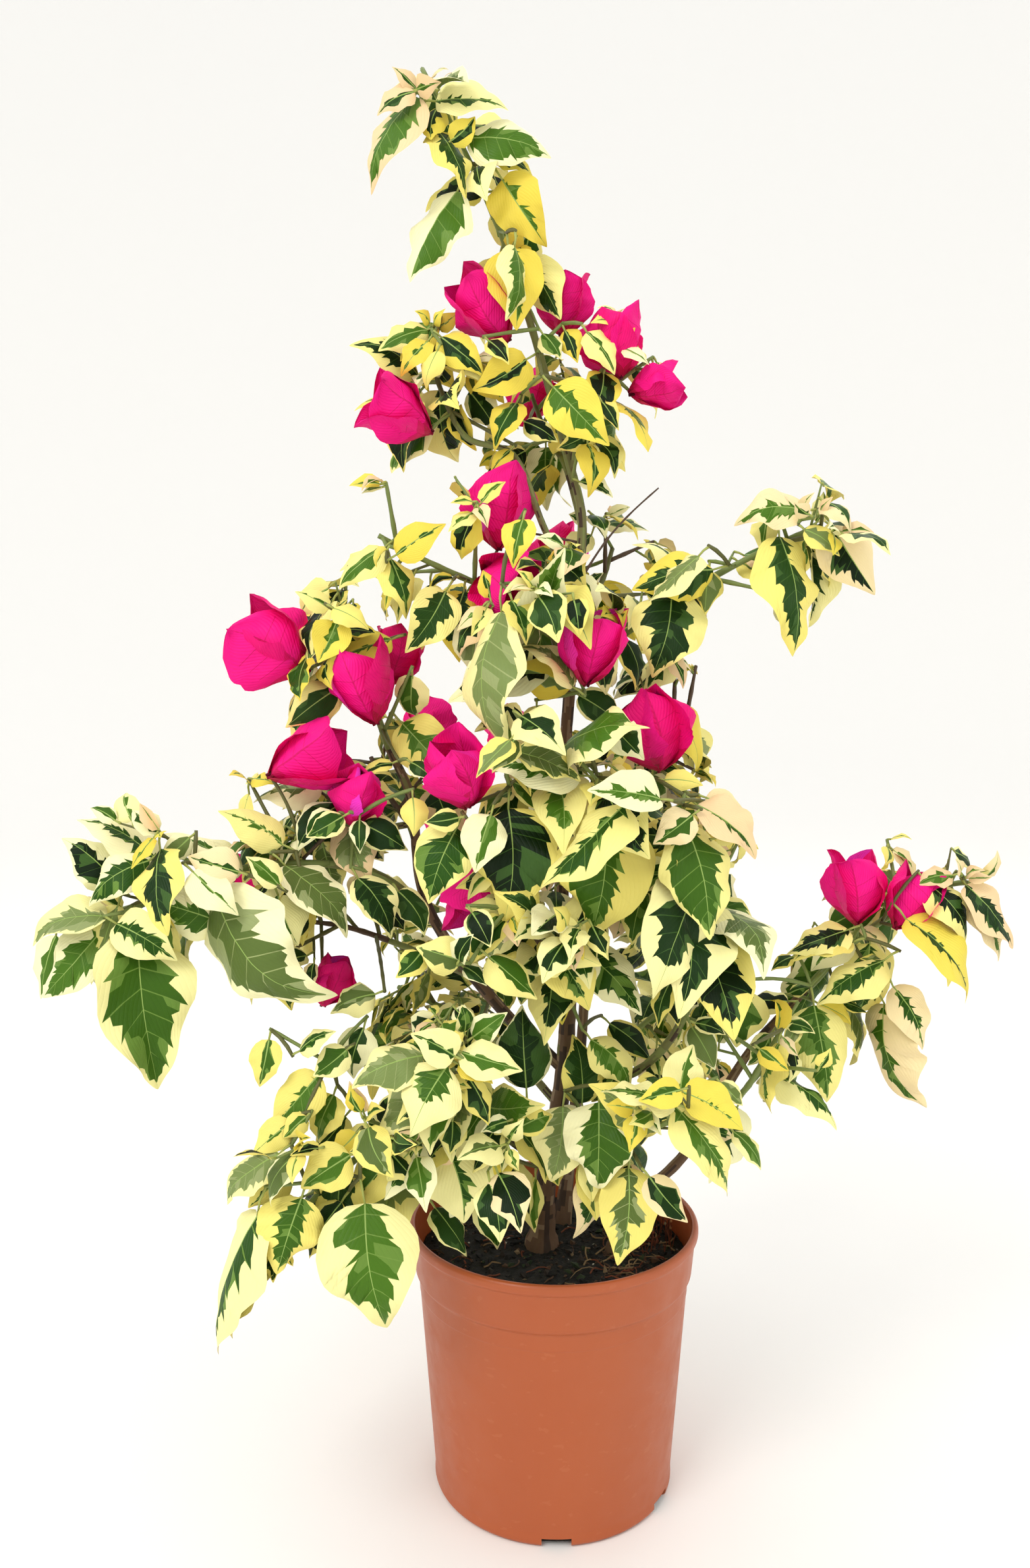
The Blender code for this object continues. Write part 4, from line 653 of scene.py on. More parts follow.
placed["low_left"] = [
    (-95, -52, 261, -101, -58, 237, 20, -2, -9, 3, 50, 30, "pd"),
    (-109, -60, 230, -117, -66, 208, 20, -3, -9, 2, 30, 60, "wg"),
    (-104, -56, 218, -119, -62, 201, 16, 2, -9, 2, 60, 40, "wd"),
    (-91, -86, 187, -79, -98, 130, 45, 2, -10, 2, 45, 50, "pg"),
    (-120, -89, 191, -130, -99, 159, 30, 1, -10, 3, 40, 50, "wg"),
    (-141, -87, 182, -162, -90, 115, 44, -8, -6, 3, 0, 40, "pg"),
    (-103, -78, 184, -121, -81, 158, 19, -5, -7, 4, 80, 80, "wd"),
    (-98, -83, 209, -121, -86, 194, 22, 0, -10, 3, 30, 45, "wg"),
    (-132, -79, 208, -160, -82, 187, 21, -4, -6, 7, 70, 70, "ps"),
    (-115, -66, 242, -139, -69, 214, 23, -3, -9, 3, 10, 60, "wg"),
    (-127, -82, 201, -145, -90, 186, 18, 1, -9, 3, 5, 5, "wg"),
    (-80, -76, 206, -101, -79, 183, 20, -1, -10, 2, 50, 10, "wg"),
    (-102, -62, 253, -118, -65, 241, 15, 0, -10, 2, 60, 60, "pg"),
    (-139, -65, 259, -144, -68, 236, 15, 0, -10, 1, 20, 50, "wg"),
    (-124, -68, 254, -106, -71, 265, 13, -5, -6, 6, 40, 40, "pg"),
    (-120, -73, 224, -131, -76, 214, 11, 1, -10, 2, 40, 40, "wg"),
    (-97, -68, 214, -109, -71, 204, 13, 0, -10, 3, 0, 0, "yg"),
    (-127, -76, 222, -145, -79, 207, 15, 0, -10, 2, 5, 5, "wg"),
    (-54, -64, 206, -45, -74, 171, 34, 1, -10, 3, 0, 25, "pg"),
    (-61, -46, 167, -44, -54, 146, 18, 5, -6, 6, 90, 90, "pd"),
    (-78, -87, 211, -65, -95, 200, 11, 2, -7, 7, 60, 60, "wd"),
]
placed["far_right"] = [
    (97, -24, 272, 92, -32, 245, 27, -2, -9, 3, 60, 70, "wg"),
    (135, -17, 263, 142, -27, 214, 32, 2, -10, 2, 60, 40, "wg"),
    (182, -17, 308, 215, -25, 268, 33, 5, -7, 5, 30, 5, "yd"),
    (192, -17, 327, 213, -25, 298, 23, 3, -8, 5, 35, 70, "wd"),
    (213, -15, 326, 238, -18, 293, 26, 5, -8, 4, 70, 25, "kd"),
    (217, -9, 321, 234, -17, 287, 24, 5, -7, 4, 50, 20, "kg"),
    (208, -10, 330, 188, -13, 326, 13, 0, -7, 7, 20, 60, "kg"),
    (189, 6, 314, 176, 16, 330, 16, -4, -9, 2, 75, 75, "ws"),
    (153, -14, 302, 120, -17, 291, 22, -2, -6, 8, 50, 60, "wd"),
    (154, -20, 297, 122, -23, 288, 21, -2, -5, 9, 30, 40, "wg"),
    (170, -22, 288, 134, -25, 265, 26, -5, -4, 8, 10, 50, "wg"),
    (126, -6, 286, 114, -9, 280, 9, -2, -7, 7, 70, 70, "wd"),
    (175, -7, 261, 197, -10, 205, 37, -9, -4, -3, 30, 10, "kg"),
    (177, -14, 272, 193, -17, 239, 22, 2, -10, 2, 30, 15, "kg"),
    (154, -4, 261, 166, -7, 256, 8, 2, -5, 8, 90, 90, "wd"),
    (140, -7, 261, 158, -10, 252, 13, 2, -7, 7, 0, 0, "yg"),
    (174, -8, 283, 160, -11, 286, 9, 3, -5, 8, 60, 60, "ws"),
    (125, -5, 266, 136, -8, 270, 7, -4, -9, 4, 80, 80, "wg"),
    (211, -13, 332, 206, -21, 340, 8, 7, -7, -2, 0, 10, "kg"),
    (214, -13, 330, 219, -21, 335, 7, -9, -2, 4, 10, 10, "kg"),
    (215, -13, 329, 226, -16, 330, 7, -3, -7, 6, 20, 10, "kg"),
]
placed["right_low"] = [
    (69, -33, 256, 80, -41, 236, 15, 0, -9, 4, 95, 95, "ps"),
    (110, -48, 252, 101, -56, 220, 21, -9, -4, 3, 10, 30, "wg"),
    (100, -51, 250, 114, -54, 240, 11, 2, -9, 5, 20, 20, "yg"),
]
placed["back_high"] = [
    (19, 46, 523, 9, 43, 524, 9, 3, -9, -2, 50, 50, "pg"),
    (29, 48, 519, 54, 45, 515, 16, 0, -7, 8, 50, 50, "pg"),
    (17, 28, 482, 26, 20, 490, 9, -7, -7, 2, 70, 70, "pd"),
]


# how the crown grows: leaves, twigs and blooms in the solids' own sizes, clear of each other
rule = {
    "gap": 0.3, "soilLevel": 125.0, "goldenAngle": math.radians(137.5),
    "leafWidth": 0.66, "leafWidest": 0.46, "leafThick": 0.035, "leafFold": 0.10, "leafRoot": 0.4,
    "petiole": 0.20, "twigRadius": 1.5, "twigTip": 0.9, "stalkRadius": 1.0,
    "bloomFull": 0.44, "bloomWide": 0.46, "bloomNarrow": 0.38,
    "bloomHigh": 0.84, "bloomFoot": 1.5, "bloomTurn": (-0.6, 0.6),
    "smallestPlaced": 30.0, "shaftWidth": 0.30, "shaftLength": 70.0,
    "shifts": (0, 4, -4, 8, -8, 13, -13, 19, 26),
    "clearance": 0.9, "spaceMargin": 9.0, "freeFrom": 0.22, "tries": 22,
    "massStemSteps": 4, "massStemProbes": 12, "flareFall": 14.0, "boughSides": 5, "boughSteps": 2.6,
    "smallestLeaf": 26.0, "lastLeaf": 0.96, "spacing": 1.15, "droop": (0.6, 1.7),
    "leafOut": 0.8, "leafAlong": 0.3, "leafToLight": 0.25, "leafTilt": 0.35, "youngShrink": 0.40,
    "leafSize": (0.74, 1.08), "leafBroad": (0.9, 1.12), "leafTurn": 1.2, "leafMiddle": 0.65,
    "roomSeen": 80.0, "roomEnough": 0.5, "stemFirstLeaf": 0.12, "twigFirstLeaf": 0.30,
    "twigSpan": 0.86, "twigJitter": 0.03, "twigTurn": 0.9, "twigTurnMore": 0.4, "twigSize": (0.8, 1.15),
    "twigShort": (1.1, 0.5), "twigSpread": (0.75, 1.2), "twigLift": (0.02, 0.22), "twigFree": 0.25,
    "bloomSize": (0.96, 1.04), "bloomRise": (0.3, 0.9), "bloomSpots": 11, "stalkIn": 1.5,
    "light": {"up": 0.75, "out": 0.5, "front": 0.8, "back": -0.3, "backFrom": 30.0},
}


# the side the plant is seen from, and where the turning of a curve's sides starts
viewPlace = Vector(cameraLook["place"])
viewPitch = math.radians(cameraLook["downTilt"])
curveHint = Vector((1, 0.3, 0))
shootHint = Vector((1, 0.2, 0.1))


# a point on the smooth curve that runs through all the points
def smoothPoint(points, fraction):
    spans = len(points) - 1
    place = min(max(fraction, 0.0), 1.0) * spans
    index = min(int(place), spans - 1)
    t = place - index
    b = points[index]
    c = points[index + 1]
    a = points[index - 1] if index > 0 else b * 2 - c
    d = points[index + 2] if index + 2 <= spans else c * 2 - b
    return 0.5 * (b * 2 + (c - a) * t + (a * 2 - b * 5 + c * 4 - d) * t ** 2
                  + (b * 3 - a - c * 3 + d) * t ** 3)


def resample(points, steps, start=0.0, end=1.0):
    return [smoothPoint(points, start + (end - start) * i / steps) for i in range(steps + 1)]


def directionAt(points, fraction):
    step = 0.02
    ahead = smoothPoint(points, fraction + step)
    behind = smoothPoint(points, fraction - step)
    return (ahead - behind).normalized()


def lengthOf(points):
    return sum((a - b).length for a, b in zip(points, points[1:]))


# the direction square to an axis that comes nearest to a hint
def across(axis, hint):
    flat = hint - axis * hint.dot(axis)
    if flat.length < 1e-4:
        flat = axis.orthogonal()
    return flat.normalized()


# the direction square to an axis that stands at an angle from its side
def spokeAt(axis, side, angle):
    return side * math.cos(angle) + axis.cross(side) * math.sin(angle)


def anyTurn(rng):
    return rng.uniform(0, 2 * math.pi)


# a solid is a list of corners and a list of faces, used to find what touches
def tube(points, radii, sides, footAxis=None):
    verts = []
    faces = []
    side = across((points[1] - points[0]).normalized(), curveHint)
    for i, centre in enumerate(points):
        axis = (points[min(i + 1, len(points) - 1)] - points[max(i - 1, 0)]).normalized()
        if i == 0 and footAxis:
            axis = footAxis
        side = across(axis, side)
        verts += [centre + spokeAt(axis, side, 2 * math.pi * k / sides) * radii[i]
                  for k in range(sides)]
    for i in range(len(points) - 1):
        for k in range(sides):
            a = i * sides + k
            b = i * sides + (k + 1) % sides
            faces.append((a, b, b + sides, a + sides))
    last = (len(points) - 1) * sides
    faces.append(tuple(reversed(range(sides))))
    faces.append(tuple(last + k for k in range(sides)))
    return verts, faces


# eight faces between two ends, two sides, and the points above and below them
diamondFaces = [(0, 2, 4), (2, 1, 4), (1, 3, 4), (3, 0, 4), (2, 0, 5), (1, 2, 5), (3, 1, 5), (0, 3, 5)]


# a leaf's body: two ends, two raised sides, and a spine with a point above and below
def bladeSolid(base, tip, facing, width, thick, fold, widest):
    axis = (tip - base).normalized()
    normal = across(axis, facing)
    side = axis.cross(normal)
    middle = base.lerp(tip, widest)
    spine = base.lerp(tip, widest * 0.6)
    verts = [base, tip,
             middle + side * width / 2 + normal * fold,
             middle - side * width / 2 + normal * fold,
             spine + normal * thick,
             spine - normal * thick]
    return verts, diamondFaces


def limbSolid(limb):
    return tube(limb["points"], limb["radii"], limb["sides"], limb["footAxis"])


def stalkSolid(points):
    return tube(points, (rule["stalkRadius"] * 1.3, rule["stalkRadius"]), 3)


def leafSolid(leaf, start=None):
    root = leaf["base"] + leaf["axis"] * (-rule["leafRoot"] if start is None else start)
    total = leaf["length"] * (1 + rule["petiole"])
    tip = leaf["base"] + leaf["axis"] * total
    return bladeSolid(root, tip, leaf["facing"], leaf["width"], total * rule["leafThick"],
                      total * rule["leafFold"], rule["leafWidest"])


# places on a leaf that must not lie in a gap
def leafProbes(solid):
    base, tip, left, right, upper = solid[0][:5]
    return solid[0] + [(base + upper) / 2, (tip + upper) / 2, (tip + left) / 2, (tip + right) / 2]


# a solid swollen by a clearance
def grown(solid, amount):
    verts, faces = solid
    middle = sum(verts, Vector()) / len(verts)
    return [v + (v - middle).normalized() * amount for v in verts], faces


def treeOf(solid):
    return BVHTree.FromPolygons(solid[0], solid[1])


# the way a leaf at this place turns its upper side
def lightFrom(place):
    light = rule["light"]
    outward = Vector((place.x, place.y, 0))
    outward = outward.normalized() if outward.length > 1 else front
    towards = front * light["front" if place.y < light["backFrom"] else "back"]
    return up * light["up"] + outward * light["out"] + towards


# what has grown so far, so that nothing new touches it
class Crown:
    def __init__(self):
        self.things = []
        self.stems = {}
        self.shafts = []

    def add(self, owner, solid):
        verts = solid[0]
        low = Vector([min(v[i] for v in verts) for i in range(3)])
        high = Vector([max(v[i] for v in verts) for i in range(3)])
        self.things.append((owner, low, high, treeOf(solid)))

    # whether a solid comes near any other mass or limb, or with own near its own mass
    def touches(self, owner, solid, own=False, clearance=None):
        fat = grown(solid, rule["clearance"] if clearance is None else clearance)
        low = [min(v[i] for v in fat[0]) for i in range(3)]
        high = [max(v[i] for v in fat[0]) for i in range(3)]
        fatTree = None
        for other, otherLow, otherHigh, otherTree in self.things:
            if (other == owner) != own:
                continue
            if any(low[i] > otherHigh[i] or high[i] < otherLow[i] for i in range(3)):
                continue
            if fatTree is None:
                fatTree = treeOf(fat)
            if fatTree.overlap(otherTree):
                return True
        return False

    # keeps the way open between a leaf and the side it is seen from
    def addShaft(self, middle, width):
        towards = (viewPlace - middle).normalized()
        ends = (middle + towards * 4, middle + towards * rule["shaftLength"])
        self.shafts.append(treeOf(tube(ends, (width, width), 6)))

    def shades(self, solid):
        shape = treeOf(solid)
        return any(shape.overlap(shaft) for shaft in self.shafts)

    # whether a leaf can stand here: clear of other masses, shafts and gaps, and of its own mass
    # beyond its foot
    def takes(self, owner, leaf, solid, freeFrom=None, clearance=None):
        free = leaf["length"] * (rule["freeFrom"] if freeFrom is None else freeFrom)
        return not (self.touches(owner, solid, clearance=clearance) or self.shades(solid)
                    or self.inOpening(leafProbes(solid))
                    or self.touches(owner, leafSolid(leaf, free), own=True, clearance=clearance))

    # whether any of these places lies in a gap, as the viewer sees it
    def inOpening(self, places):
        ahead = Vector((0, math.cos(viewPitch), -math.sin(viewPitch)))
        down = Vector((0, -math.sin(viewPitch), -math.cos(viewPitch)))
        for place in places:
            way = (place - viewPlace) * (1000 / (place - viewPlace).dot(ahead))
            for acrossView, downView, radius in openings:
                if math.hypot(way.x - acrossView, way.dot(down) - downView) < radius:
                    return True
        return False

    def distance(self, name, place):
        return min((place - p).length for p in self.stems[name])

    # whether places lie nearer to the mass's own stem than to another's
    def inSpace(self, owner, places):
        for place in places:
            own = self.distance(owner, place)
            for other in self.stems:
                if other != owner and self.distance(other, place) + rule["spaceMargin"] < own:
                    return False
        return True


# a limb's points, from the soil or from its parent's curve
def stemCurve(name, curves):
    spec = stems.get(name) or branches[name]
    points = [Vector(p) for p in spec["way"]]
    if spec.get("onSoil"):
        lift = Vector((0, 0, rule["soilLevel"] + rule["gap"]))
        return [p + lift for p in points]
    start = smoothPoint(curves[spec["parent"]], spec["at"])
    if spec["at"] == 1.0:
        start += directionAt(curves[spec["parent"]], 1.0) * rule["gap"]
    return [start] + points


def limbRadii(spec, steps, start, end):
    first, last = spec["radius"]
    radii = []
    for i in range(steps + 1):
        t = start + (end - start) * i / steps
        flare = spec.get("flare", 0.0) * math.exp(-t * rule["flareFall"])
        radii.append(first + (last - first) * t + flare)
    return radii


def twigCurve(stem, at, turn, spreadAngle, length, rng):
    start = smoothPoint(stem, at)
    axis = directionAt(stem, at)
    out = spokeAt(axis, across(axis, shootHint), turn)
    heading = axis * math.cos(spreadAngle) + out * math.sin(spreadAngle)
    lift = up * length * rng.uniform(*rule["twigLift"])
    return [start, start + heading * length + lift]


# a leaf that leaves a shoot at a turn, rises to the light and droops
def leafAt(shoot, at, turn, length, droop, rng):
    base = smoothPoint(shoot, at)
    along = directionAt(shoot, at)
    out = spokeAt(along, across(along, shootHint), turn)
    facing = lightFrom(base)
    axis = out * rule["leafOut"] + along * rule["leafAlong"] + facing * rule["leafToLight"]
    axis = (axis - up * droop).normalized()
    tilt = rule["leafTilt"]
    facing = facing + Vector([rng.uniform(-tilt, tilt) for _ in range(3)])
    return {"base": base, "axis": axis, "facing": facing, "length": length,
            "width": length * rule["leafWidth"] * rng.uniform(*rule["leafBroad"])}


def leafMiddle(leaf):
    return leaf["base"] + leaf["axis"] * leaf["length"] * rule["leafMiddle"]


# how far away the nearest other leaf is
def leafRoom(leaf, others):
    middle = leafMiddle(leaf)
    return min([rule["roomSeen"]] + [(middle - leafMiddle(other)).length for other in others])


# leaves along a shoot, each in the roomiest of the ways tried
def growShootLeaves(name, shoot, length, spec, crown, leaves, rng, first):
    count = max(1, int(length * (1 - first) / (spec["spacing"] * rule["spacing"])))
    turn = anyTurn(rng)
    for i in range(count + 1):
        at = first + (rule["lastLeaf"] - first) * i / count
        turn += rule["goldenAngle"]
        size = spec["leaf"] * (1 - rule["youngShrink"] * (i / count) ** 1.5)
        size *= rng.uniform(*rule["leafSize"])
        size = max(size, rule["smallestLeaf"])
        best = None
        for attempt in range(rule["tries"]):
            offset = 0 if attempt == 0 else rng.uniform(-rule["leafTurn"], rule["leafTurn"])
            droop = rng.uniform(*spec.get("droop", rule["droop"]))
            leaf = leafAt(shoot, at, turn + offset, size, droop, rng)
            solid = leafSolid(leaf)
            if not crown.inSpace(name, [solid[0][1]]) or not crown.takes(name, leaf, solid):
                continue
            room = leafRoom(leaf, leaves)
            if best is None or room > best[0]:
                best = (room, leaf, solid)
            if room > size * rule["roomEnough"]:
                break
        if best:
            leaves.append(best[1])
            crown.add(name, best[2])


# a twig that leaves the mass's stem where it has room
def growTwig(name, stem, index, spec, crown, rng):
    count = spec["twigs"]
    radii = (rule["twigRadius"], rule["twigTip"])
    swing = rule["twigTurn"]
    jitter = rule["twigJitter"]
    whole, shorter = rule["twigShort"]
    for attempt in range(rule["tries"]):
        at = (index + 0.5) / count * rule["twigSpan"] + rng.uniform(-jitter, jitter)
        turn = index * rule["goldenAngle"]
        turn += rng.uniform(-swing, swing) * (1 + attempt * rule["twigTurnMore"])
        length = spec["twig"] * (whole - shorter * at) * rng.uniform(*rule["twigSize"])
        points = twigCurve(stem, at, turn, rng.uniform(*rule["twigSpread"]), length, rng)
        solid = tube(points, radii, 3)
        beyond = tube(resample(points, 1, rule["twigFree"], 1.0), radii, 3)
        clear = not crown.touches(name, solid) and not crown.touches(name, beyond, own=True)
        if clear and crown.inSpace(name, [points[-1]]) and not crown.inOpening([points[-1]]):
            crown.add(name, solid)
            return {"points": points, "length": length}
    return None


# a bloom on its stalk, moved towards the viewer's side or away until it is free
def growBloom(name, stem, spec, crown, rng):
    place = Vector(spec[0])
    if spec[1]:
        heading = Vector(spec[1])
    else:
        heading = lightFrom(place) * 0.5 + up * rng.uniform(*rule["bloomRise"])
    heading = heading.normalized()
    length = spec[2] * rng.uniform(*rule["bloomSize"])
    towards = (viewPlace - place).normalized()
    side = across(heading, up)
    seen = across(heading, towards)
    turn = math.atan2(seen.dot(heading.cross(side)), seen.dot(side)) + rng.uniform(*rule["bloomTurn"])
    for shift in rule["shifts"]:
        base = place + towards * shift - heading * length * rule["bloomFull"]
        bloom = {"base": base, "heading": heading, "length": length, "turn": turn}
        body = bloomSolid(bloom)
        if crown.touches(name, body):
            continue
        starts = [smoothPoint(stem, i / rule["bloomSpots"]) for i in range(rule["bloomSpots"])]
        for start in sorted(starts, key=lambda spot: (spot - base).length):
            stalk = [start, base + heading * rule["stalkIn"]]
            solid = stalkSolid(stalk)
            if not crown.touches(name, solid):
                bloom["stalk"] = stalk
                crown.add(name, solid)
                crown.add(name, body)
                return bloom
    return None


# a closed lantern: foot, six corners round its widest part, and its top
def bloomSolid(bloom):
    heading = bloom["heading"]
    length = bloom["length"]
    verts = []
    for k in range(6):
        out = spokeAt(heading, across(heading, up), bloom["turn"] + math.pi * k / 3)
        wide = rule["bloomWide"] if k % 2 == 0 else rule["bloomNarrow"]
        verts.append(bloom["base"] + (out * wide + heading * rule["bloomFull"]) * length)
    verts.append(bloom["base"] - heading * rule["bloomFoot"])
    verts.append(bloom["base"] + heading * rule["bloomHigh"] * length)
    faces = []
    for k in range(6):
        n = (k + 1) % 6
        faces.append((k, 6, n))
        faces.append((k, n, 7))
    return verts, faces


# a leaf at its own place, moved to or from the viewer's side until it is free
def placeLeaf(name, spec, mass, crown):
    foot = Vector(spec[0:3])
    tip = Vector(spec[3:6])
    towards = (viewPlace - (foot + tip) / 2).normalized()
    for shift in rule["shifts"]:
        start = foot + towards * shift
        length = (tip - foot).length
        axis = (tip - foot).normalized()
        leaf = {"base": start - axis * length * rule["petiole"], "axis": axis,
                "facing": Vector(spec[7:10]), "length": length, "width": spec[6],
                "look": (*spec[10:], 92)[:4]}
        joint = min(mass["joints"], key=lambda p: (p - leaf["base"]).length)
        reach = leaf["base"] - joint
        stalk = [joint, leaf["base"] + reach.normalized() * 1.0]
        twig = stalkSolid(stalk)
        solid = leafSolid(leaf)
        if crown.touches(name, solid) or crown.touches(name, twig):
            continue
        if crown.touches(name, leafSolid(leaf, length * rule["freeFrom"]), own=True):
            continue
        mass["leaves"].append(leaf)
        mass["stalks"].append(stalk)
        mass["joints"].append(leaf["base"])
        crown.add(name, solid)
        crown.add(name, twig)
        crown.addShaft(start.lerp(tip + towards * shift, 0.5), leaf["width"] * rule["shaftWidth"])
        return True
    return False


# the plan's leaves, large ones or small ones, and how many found no room
def placeLeaves(large, masses, crown):
    missed = 0
    for name, rows in placed.items():
        for row in rows:
            size = (Vector(row[3:6]) - Vector(row[0:3])).length
            if (size >= rule["smallestPlaced"]) == large:
                missed += not placeLeaf(name, row, masses[name], crown)
    return missed


# limbs first, then blooms, the plan's large leaves, twigs and the leaves of the rule
def growCrown():
    crown = Crown()
    curves = {}
    limbs = {}
    for name, spec in stems.items():
        curves[name] = stemCurve(name, curves)
        limbs[name] = {"points": resample(curves[name], spec["steps"]),
                       "radii": limbRadii(spec, spec["steps"], 0.0, 1.0), "sides": spec["sides"],
                       "footAxis": up if spec.get("onSoil") else None,
                       "curve": curves[name], "end": 1.0, "spec": spec}
        crown.add(name, limbSolid(limbs[name]))
    masses = {}
    for name, spec in branches.items():
        curves[name] = stemCurve(name, curves)
        enter = spec["enter"]
        if enter > 0:
            steps = max(3, round(enter * len(spec["way"]) * rule["boughSteps"]))
            bough = {"points": resample(curves[name], steps, 0.0, enter),
                     "radii": limbRadii(spec, steps, 0.0, enter), "sides": rule["boughSides"],
                     "footAxis": None, "curve": curves[name], "end": enter, "spec": spec}
            limbs[name + "_bough"] = bough
            crown.add(name + "_bough", limbSolid(bough))
        carrier = limbs[name + "_bough"] if enter > 0 else limbs[spec["parent"]]
        tip = carrier["points"][-1]
        footAxis = (tip - carrier["points"][-2]).normalized()
        rest = resample(curves[name], rule["massStemSteps"], enter, 1.0)
        stem = [tip + footAxis * rule["gap"]] + rest[1:]
        radii = limbRadii(spec, rule["massStemSteps"], enter, 1.0)
        crown.add(name, tube(stem, radii, 3, footAxis))
        crown.stems[name] = resample(stem, rule["massStemProbes"])
        masses[name] = {"stem": stem, "radii": radii, "blooms": [], "twigs": [], "leaves": [],
                        "stalks": [], "joints": resample(stem, 8)[1:]}
    for name, mass in masses.items():
        rng = random.Random("bloom " + name)
        for spec in branches[name]["blooms"]:
            bloom = growBloom(name, mass["stem"], spec, crown, rng)
            if bloom:
                mass["blooms"].append(bloom)
    print("placed leaves without room", placeLeaves(True, masses, crown))
    for name, mass in masses.items():
        rng = random.Random("twig " + name)
        for index in range(branches[name]["twigs"]):
            twig = growTwig(name, mass["stem"], index, branches[name], crown, rng)
            if twig:
                mass["twigs"].append(twig)
    for name, mass in masses.items():
        rng = random.Random("leaf " + name)
        spec = branches[name]
        growShootLeaves(name, mass["stem"], lengthOf(mass["stem"]), spec, crown, mass["leaves"], rng,
                        rule["stemFirstLeaf"])
        for twig in mass["twigs"]:
            growShootLeaves(name, twig["points"], twig["length"], spec, crown, mass["leaves"], rng,
                            rule["twigFirstLeaf"])
    return crown, limbs, masses


crown, limbs, masses = growCrown()
print("crown grown", sum(len(m["leaves"]) for m in masses.values()), "leaves")


# finer growth: the smaller leaves of the plan, then side shoots and young leaves in the room left

fineLook = {"shootLength": (10.0, 24.0), "shootEvery": 16.0, "shootSpread": (0.7, 1.2),
            "shootRadii": (0.9, 0.6), "shootClear": 0.3, "shootFree": 0.3, "ownClear": 0.2,
            "leafSize": (20.0, 46.0), "leafCount": 3, "leafShrink": 0.2, "leafFirst": 0.4,
            "leafStep": 0.29, "droop": (0.5, 1.8), "youngDroop": (0.1, 1.3), "tries": 10,
            "leafClear": 0.25, "leafFree": 0.3, "tuftSize": (10.0, 18.0), "tuftCount": 4,
            "tuftChance": 0.8, "tuftAt": 0.98, "tuftStep": 0.03, "boxMargin": 4.0,
            "denseEvery": 10.0,
            "dense": ("left_low", "low_left", "low_front_left", "low_front_right", "core_front",
                      "front_mid", "core_right", "back_mid", "left_mid", "right_mid",
                      "back_low_left", "back_low_right"),
            # the fine leaves also leave the soil at the right in sight
            "opening": (115, 363, 24), "leafHold": 0.5, "stemHold": 1.6, "stemLeast": 0.3}


def insideBox(point, box):
    margin = fineLook["boxMargin"]
    return all(box[0][i] - margin < point[i] < box[1][i] + margin for i in range(3))


# one leaf, if a way is free
def tryFineLeaf(name, shoot, at, turn, size, box, rng, young):
    for attempt in range(fineLook["tries"]):
        droop = rng.uniform(*fineLook["youngDroop" if young else "droop"])
        leaf = leafAt(shoot, at, turn + rng.uniform(-1.0, 1.0) * attempt * 0.5, size, droop, rng)
        leaf["young"] = young
        solid = leafSolid(leaf)
        if insideBox(solid[0][1], box) and crown.takes(name, leaf, solid, fineLook["leafFree"],
                                                       fineLook["leafClear"]):
            masses[name]["leaves"].append(leaf)
            crown.add(name, solid)
            return


# one side shoot with a few leaves, if it has room
def tryFineShoot(name, shoot, at, box, rng):
    turn = anyTurn(rng)
    reach = rng.uniform(*fineLook["shootLength"])
    points = twigCurve(shoot, at, turn, rng.uniform(*fineLook["shootSpread"]), reach, rng)
    solid = tube(points, fineLook["shootRadii"], 3)
    beyond = tube(resample(points, 1, fineLook["shootFree"], 1.0), fineLook["shootRadii"], 3)
    if (not insideBox(points[-1], box) or crown.inOpening([points[-1]])
            or crown.touches(name, solid, clearance=fineLook["shootClear"])
            or crown.touches(name, beyond, own=True, clearance=fineLook["ownClear"])):
        return
    crown.add(name, solid)
    masses[name]["fineTwigs"].append(points)
    for k in range(fineLook["leafCount"]):
        size = rng.uniform(*fineLook["leafSize"]) * (1 - fineLook["leafShrink"] * k)
        tryFineLeaf(name, points, fineLook["leafFirst"] + fineLook["leafStep"] * k,
                    turn + k * rule["goldenAngle"], size, box, rng, False)


def growFine():
    placeLeaves(False, masses, crown)
    for name, mass in masses.items():
        rng = random.Random("fine " + name)
        box = [[side / mm for side in corner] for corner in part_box(name)]
        shoots = [(mass["stem"], lengthOf(mass["stem"]))]
        shoots += [(twig["points"], twig["length"]) for twig in mass["twigs"]]
        mass["fineTwigs"] = []
        every = fineLook["denseEvery" if name in fineLook["dense"] else "shootEvery"]
        for shoot, length in shoots:
            count = int(length / every)
            for i in range(count):
                tryFineShoot(name, shoot, (i + rng.uniform(0.2, 0.8)) / count, box, rng)
        for shoot, length in shoots:
            if rng.random() > fineLook["tuftChance"]:
                continue
            turn = anyTurn(rng)
            for k in range(fineLook["tuftCount"]):
                size = rng.uniform(*fineLook["tuftSize"])
                tryFineLeaf(name, shoot, fineLook["tuftAt"] - fineLook["tuftStep"] * k,
                            turn + k * rule["goldenAngle"], size, box, rng, True)


# how far up a straight shoot the last thing on it stands
def reachOf(points, places):
    along = points[-1] - points[0]
    reach = 0.0
    for place in places:
        t = (place - points[0]).dot(along) / along.length_squared
        if 0 < t < 1.01 and (place - points[0] - along * t).length < fineLook["leafHold"]:
            reach = max(reach, t)
    return min(1.0, reach)


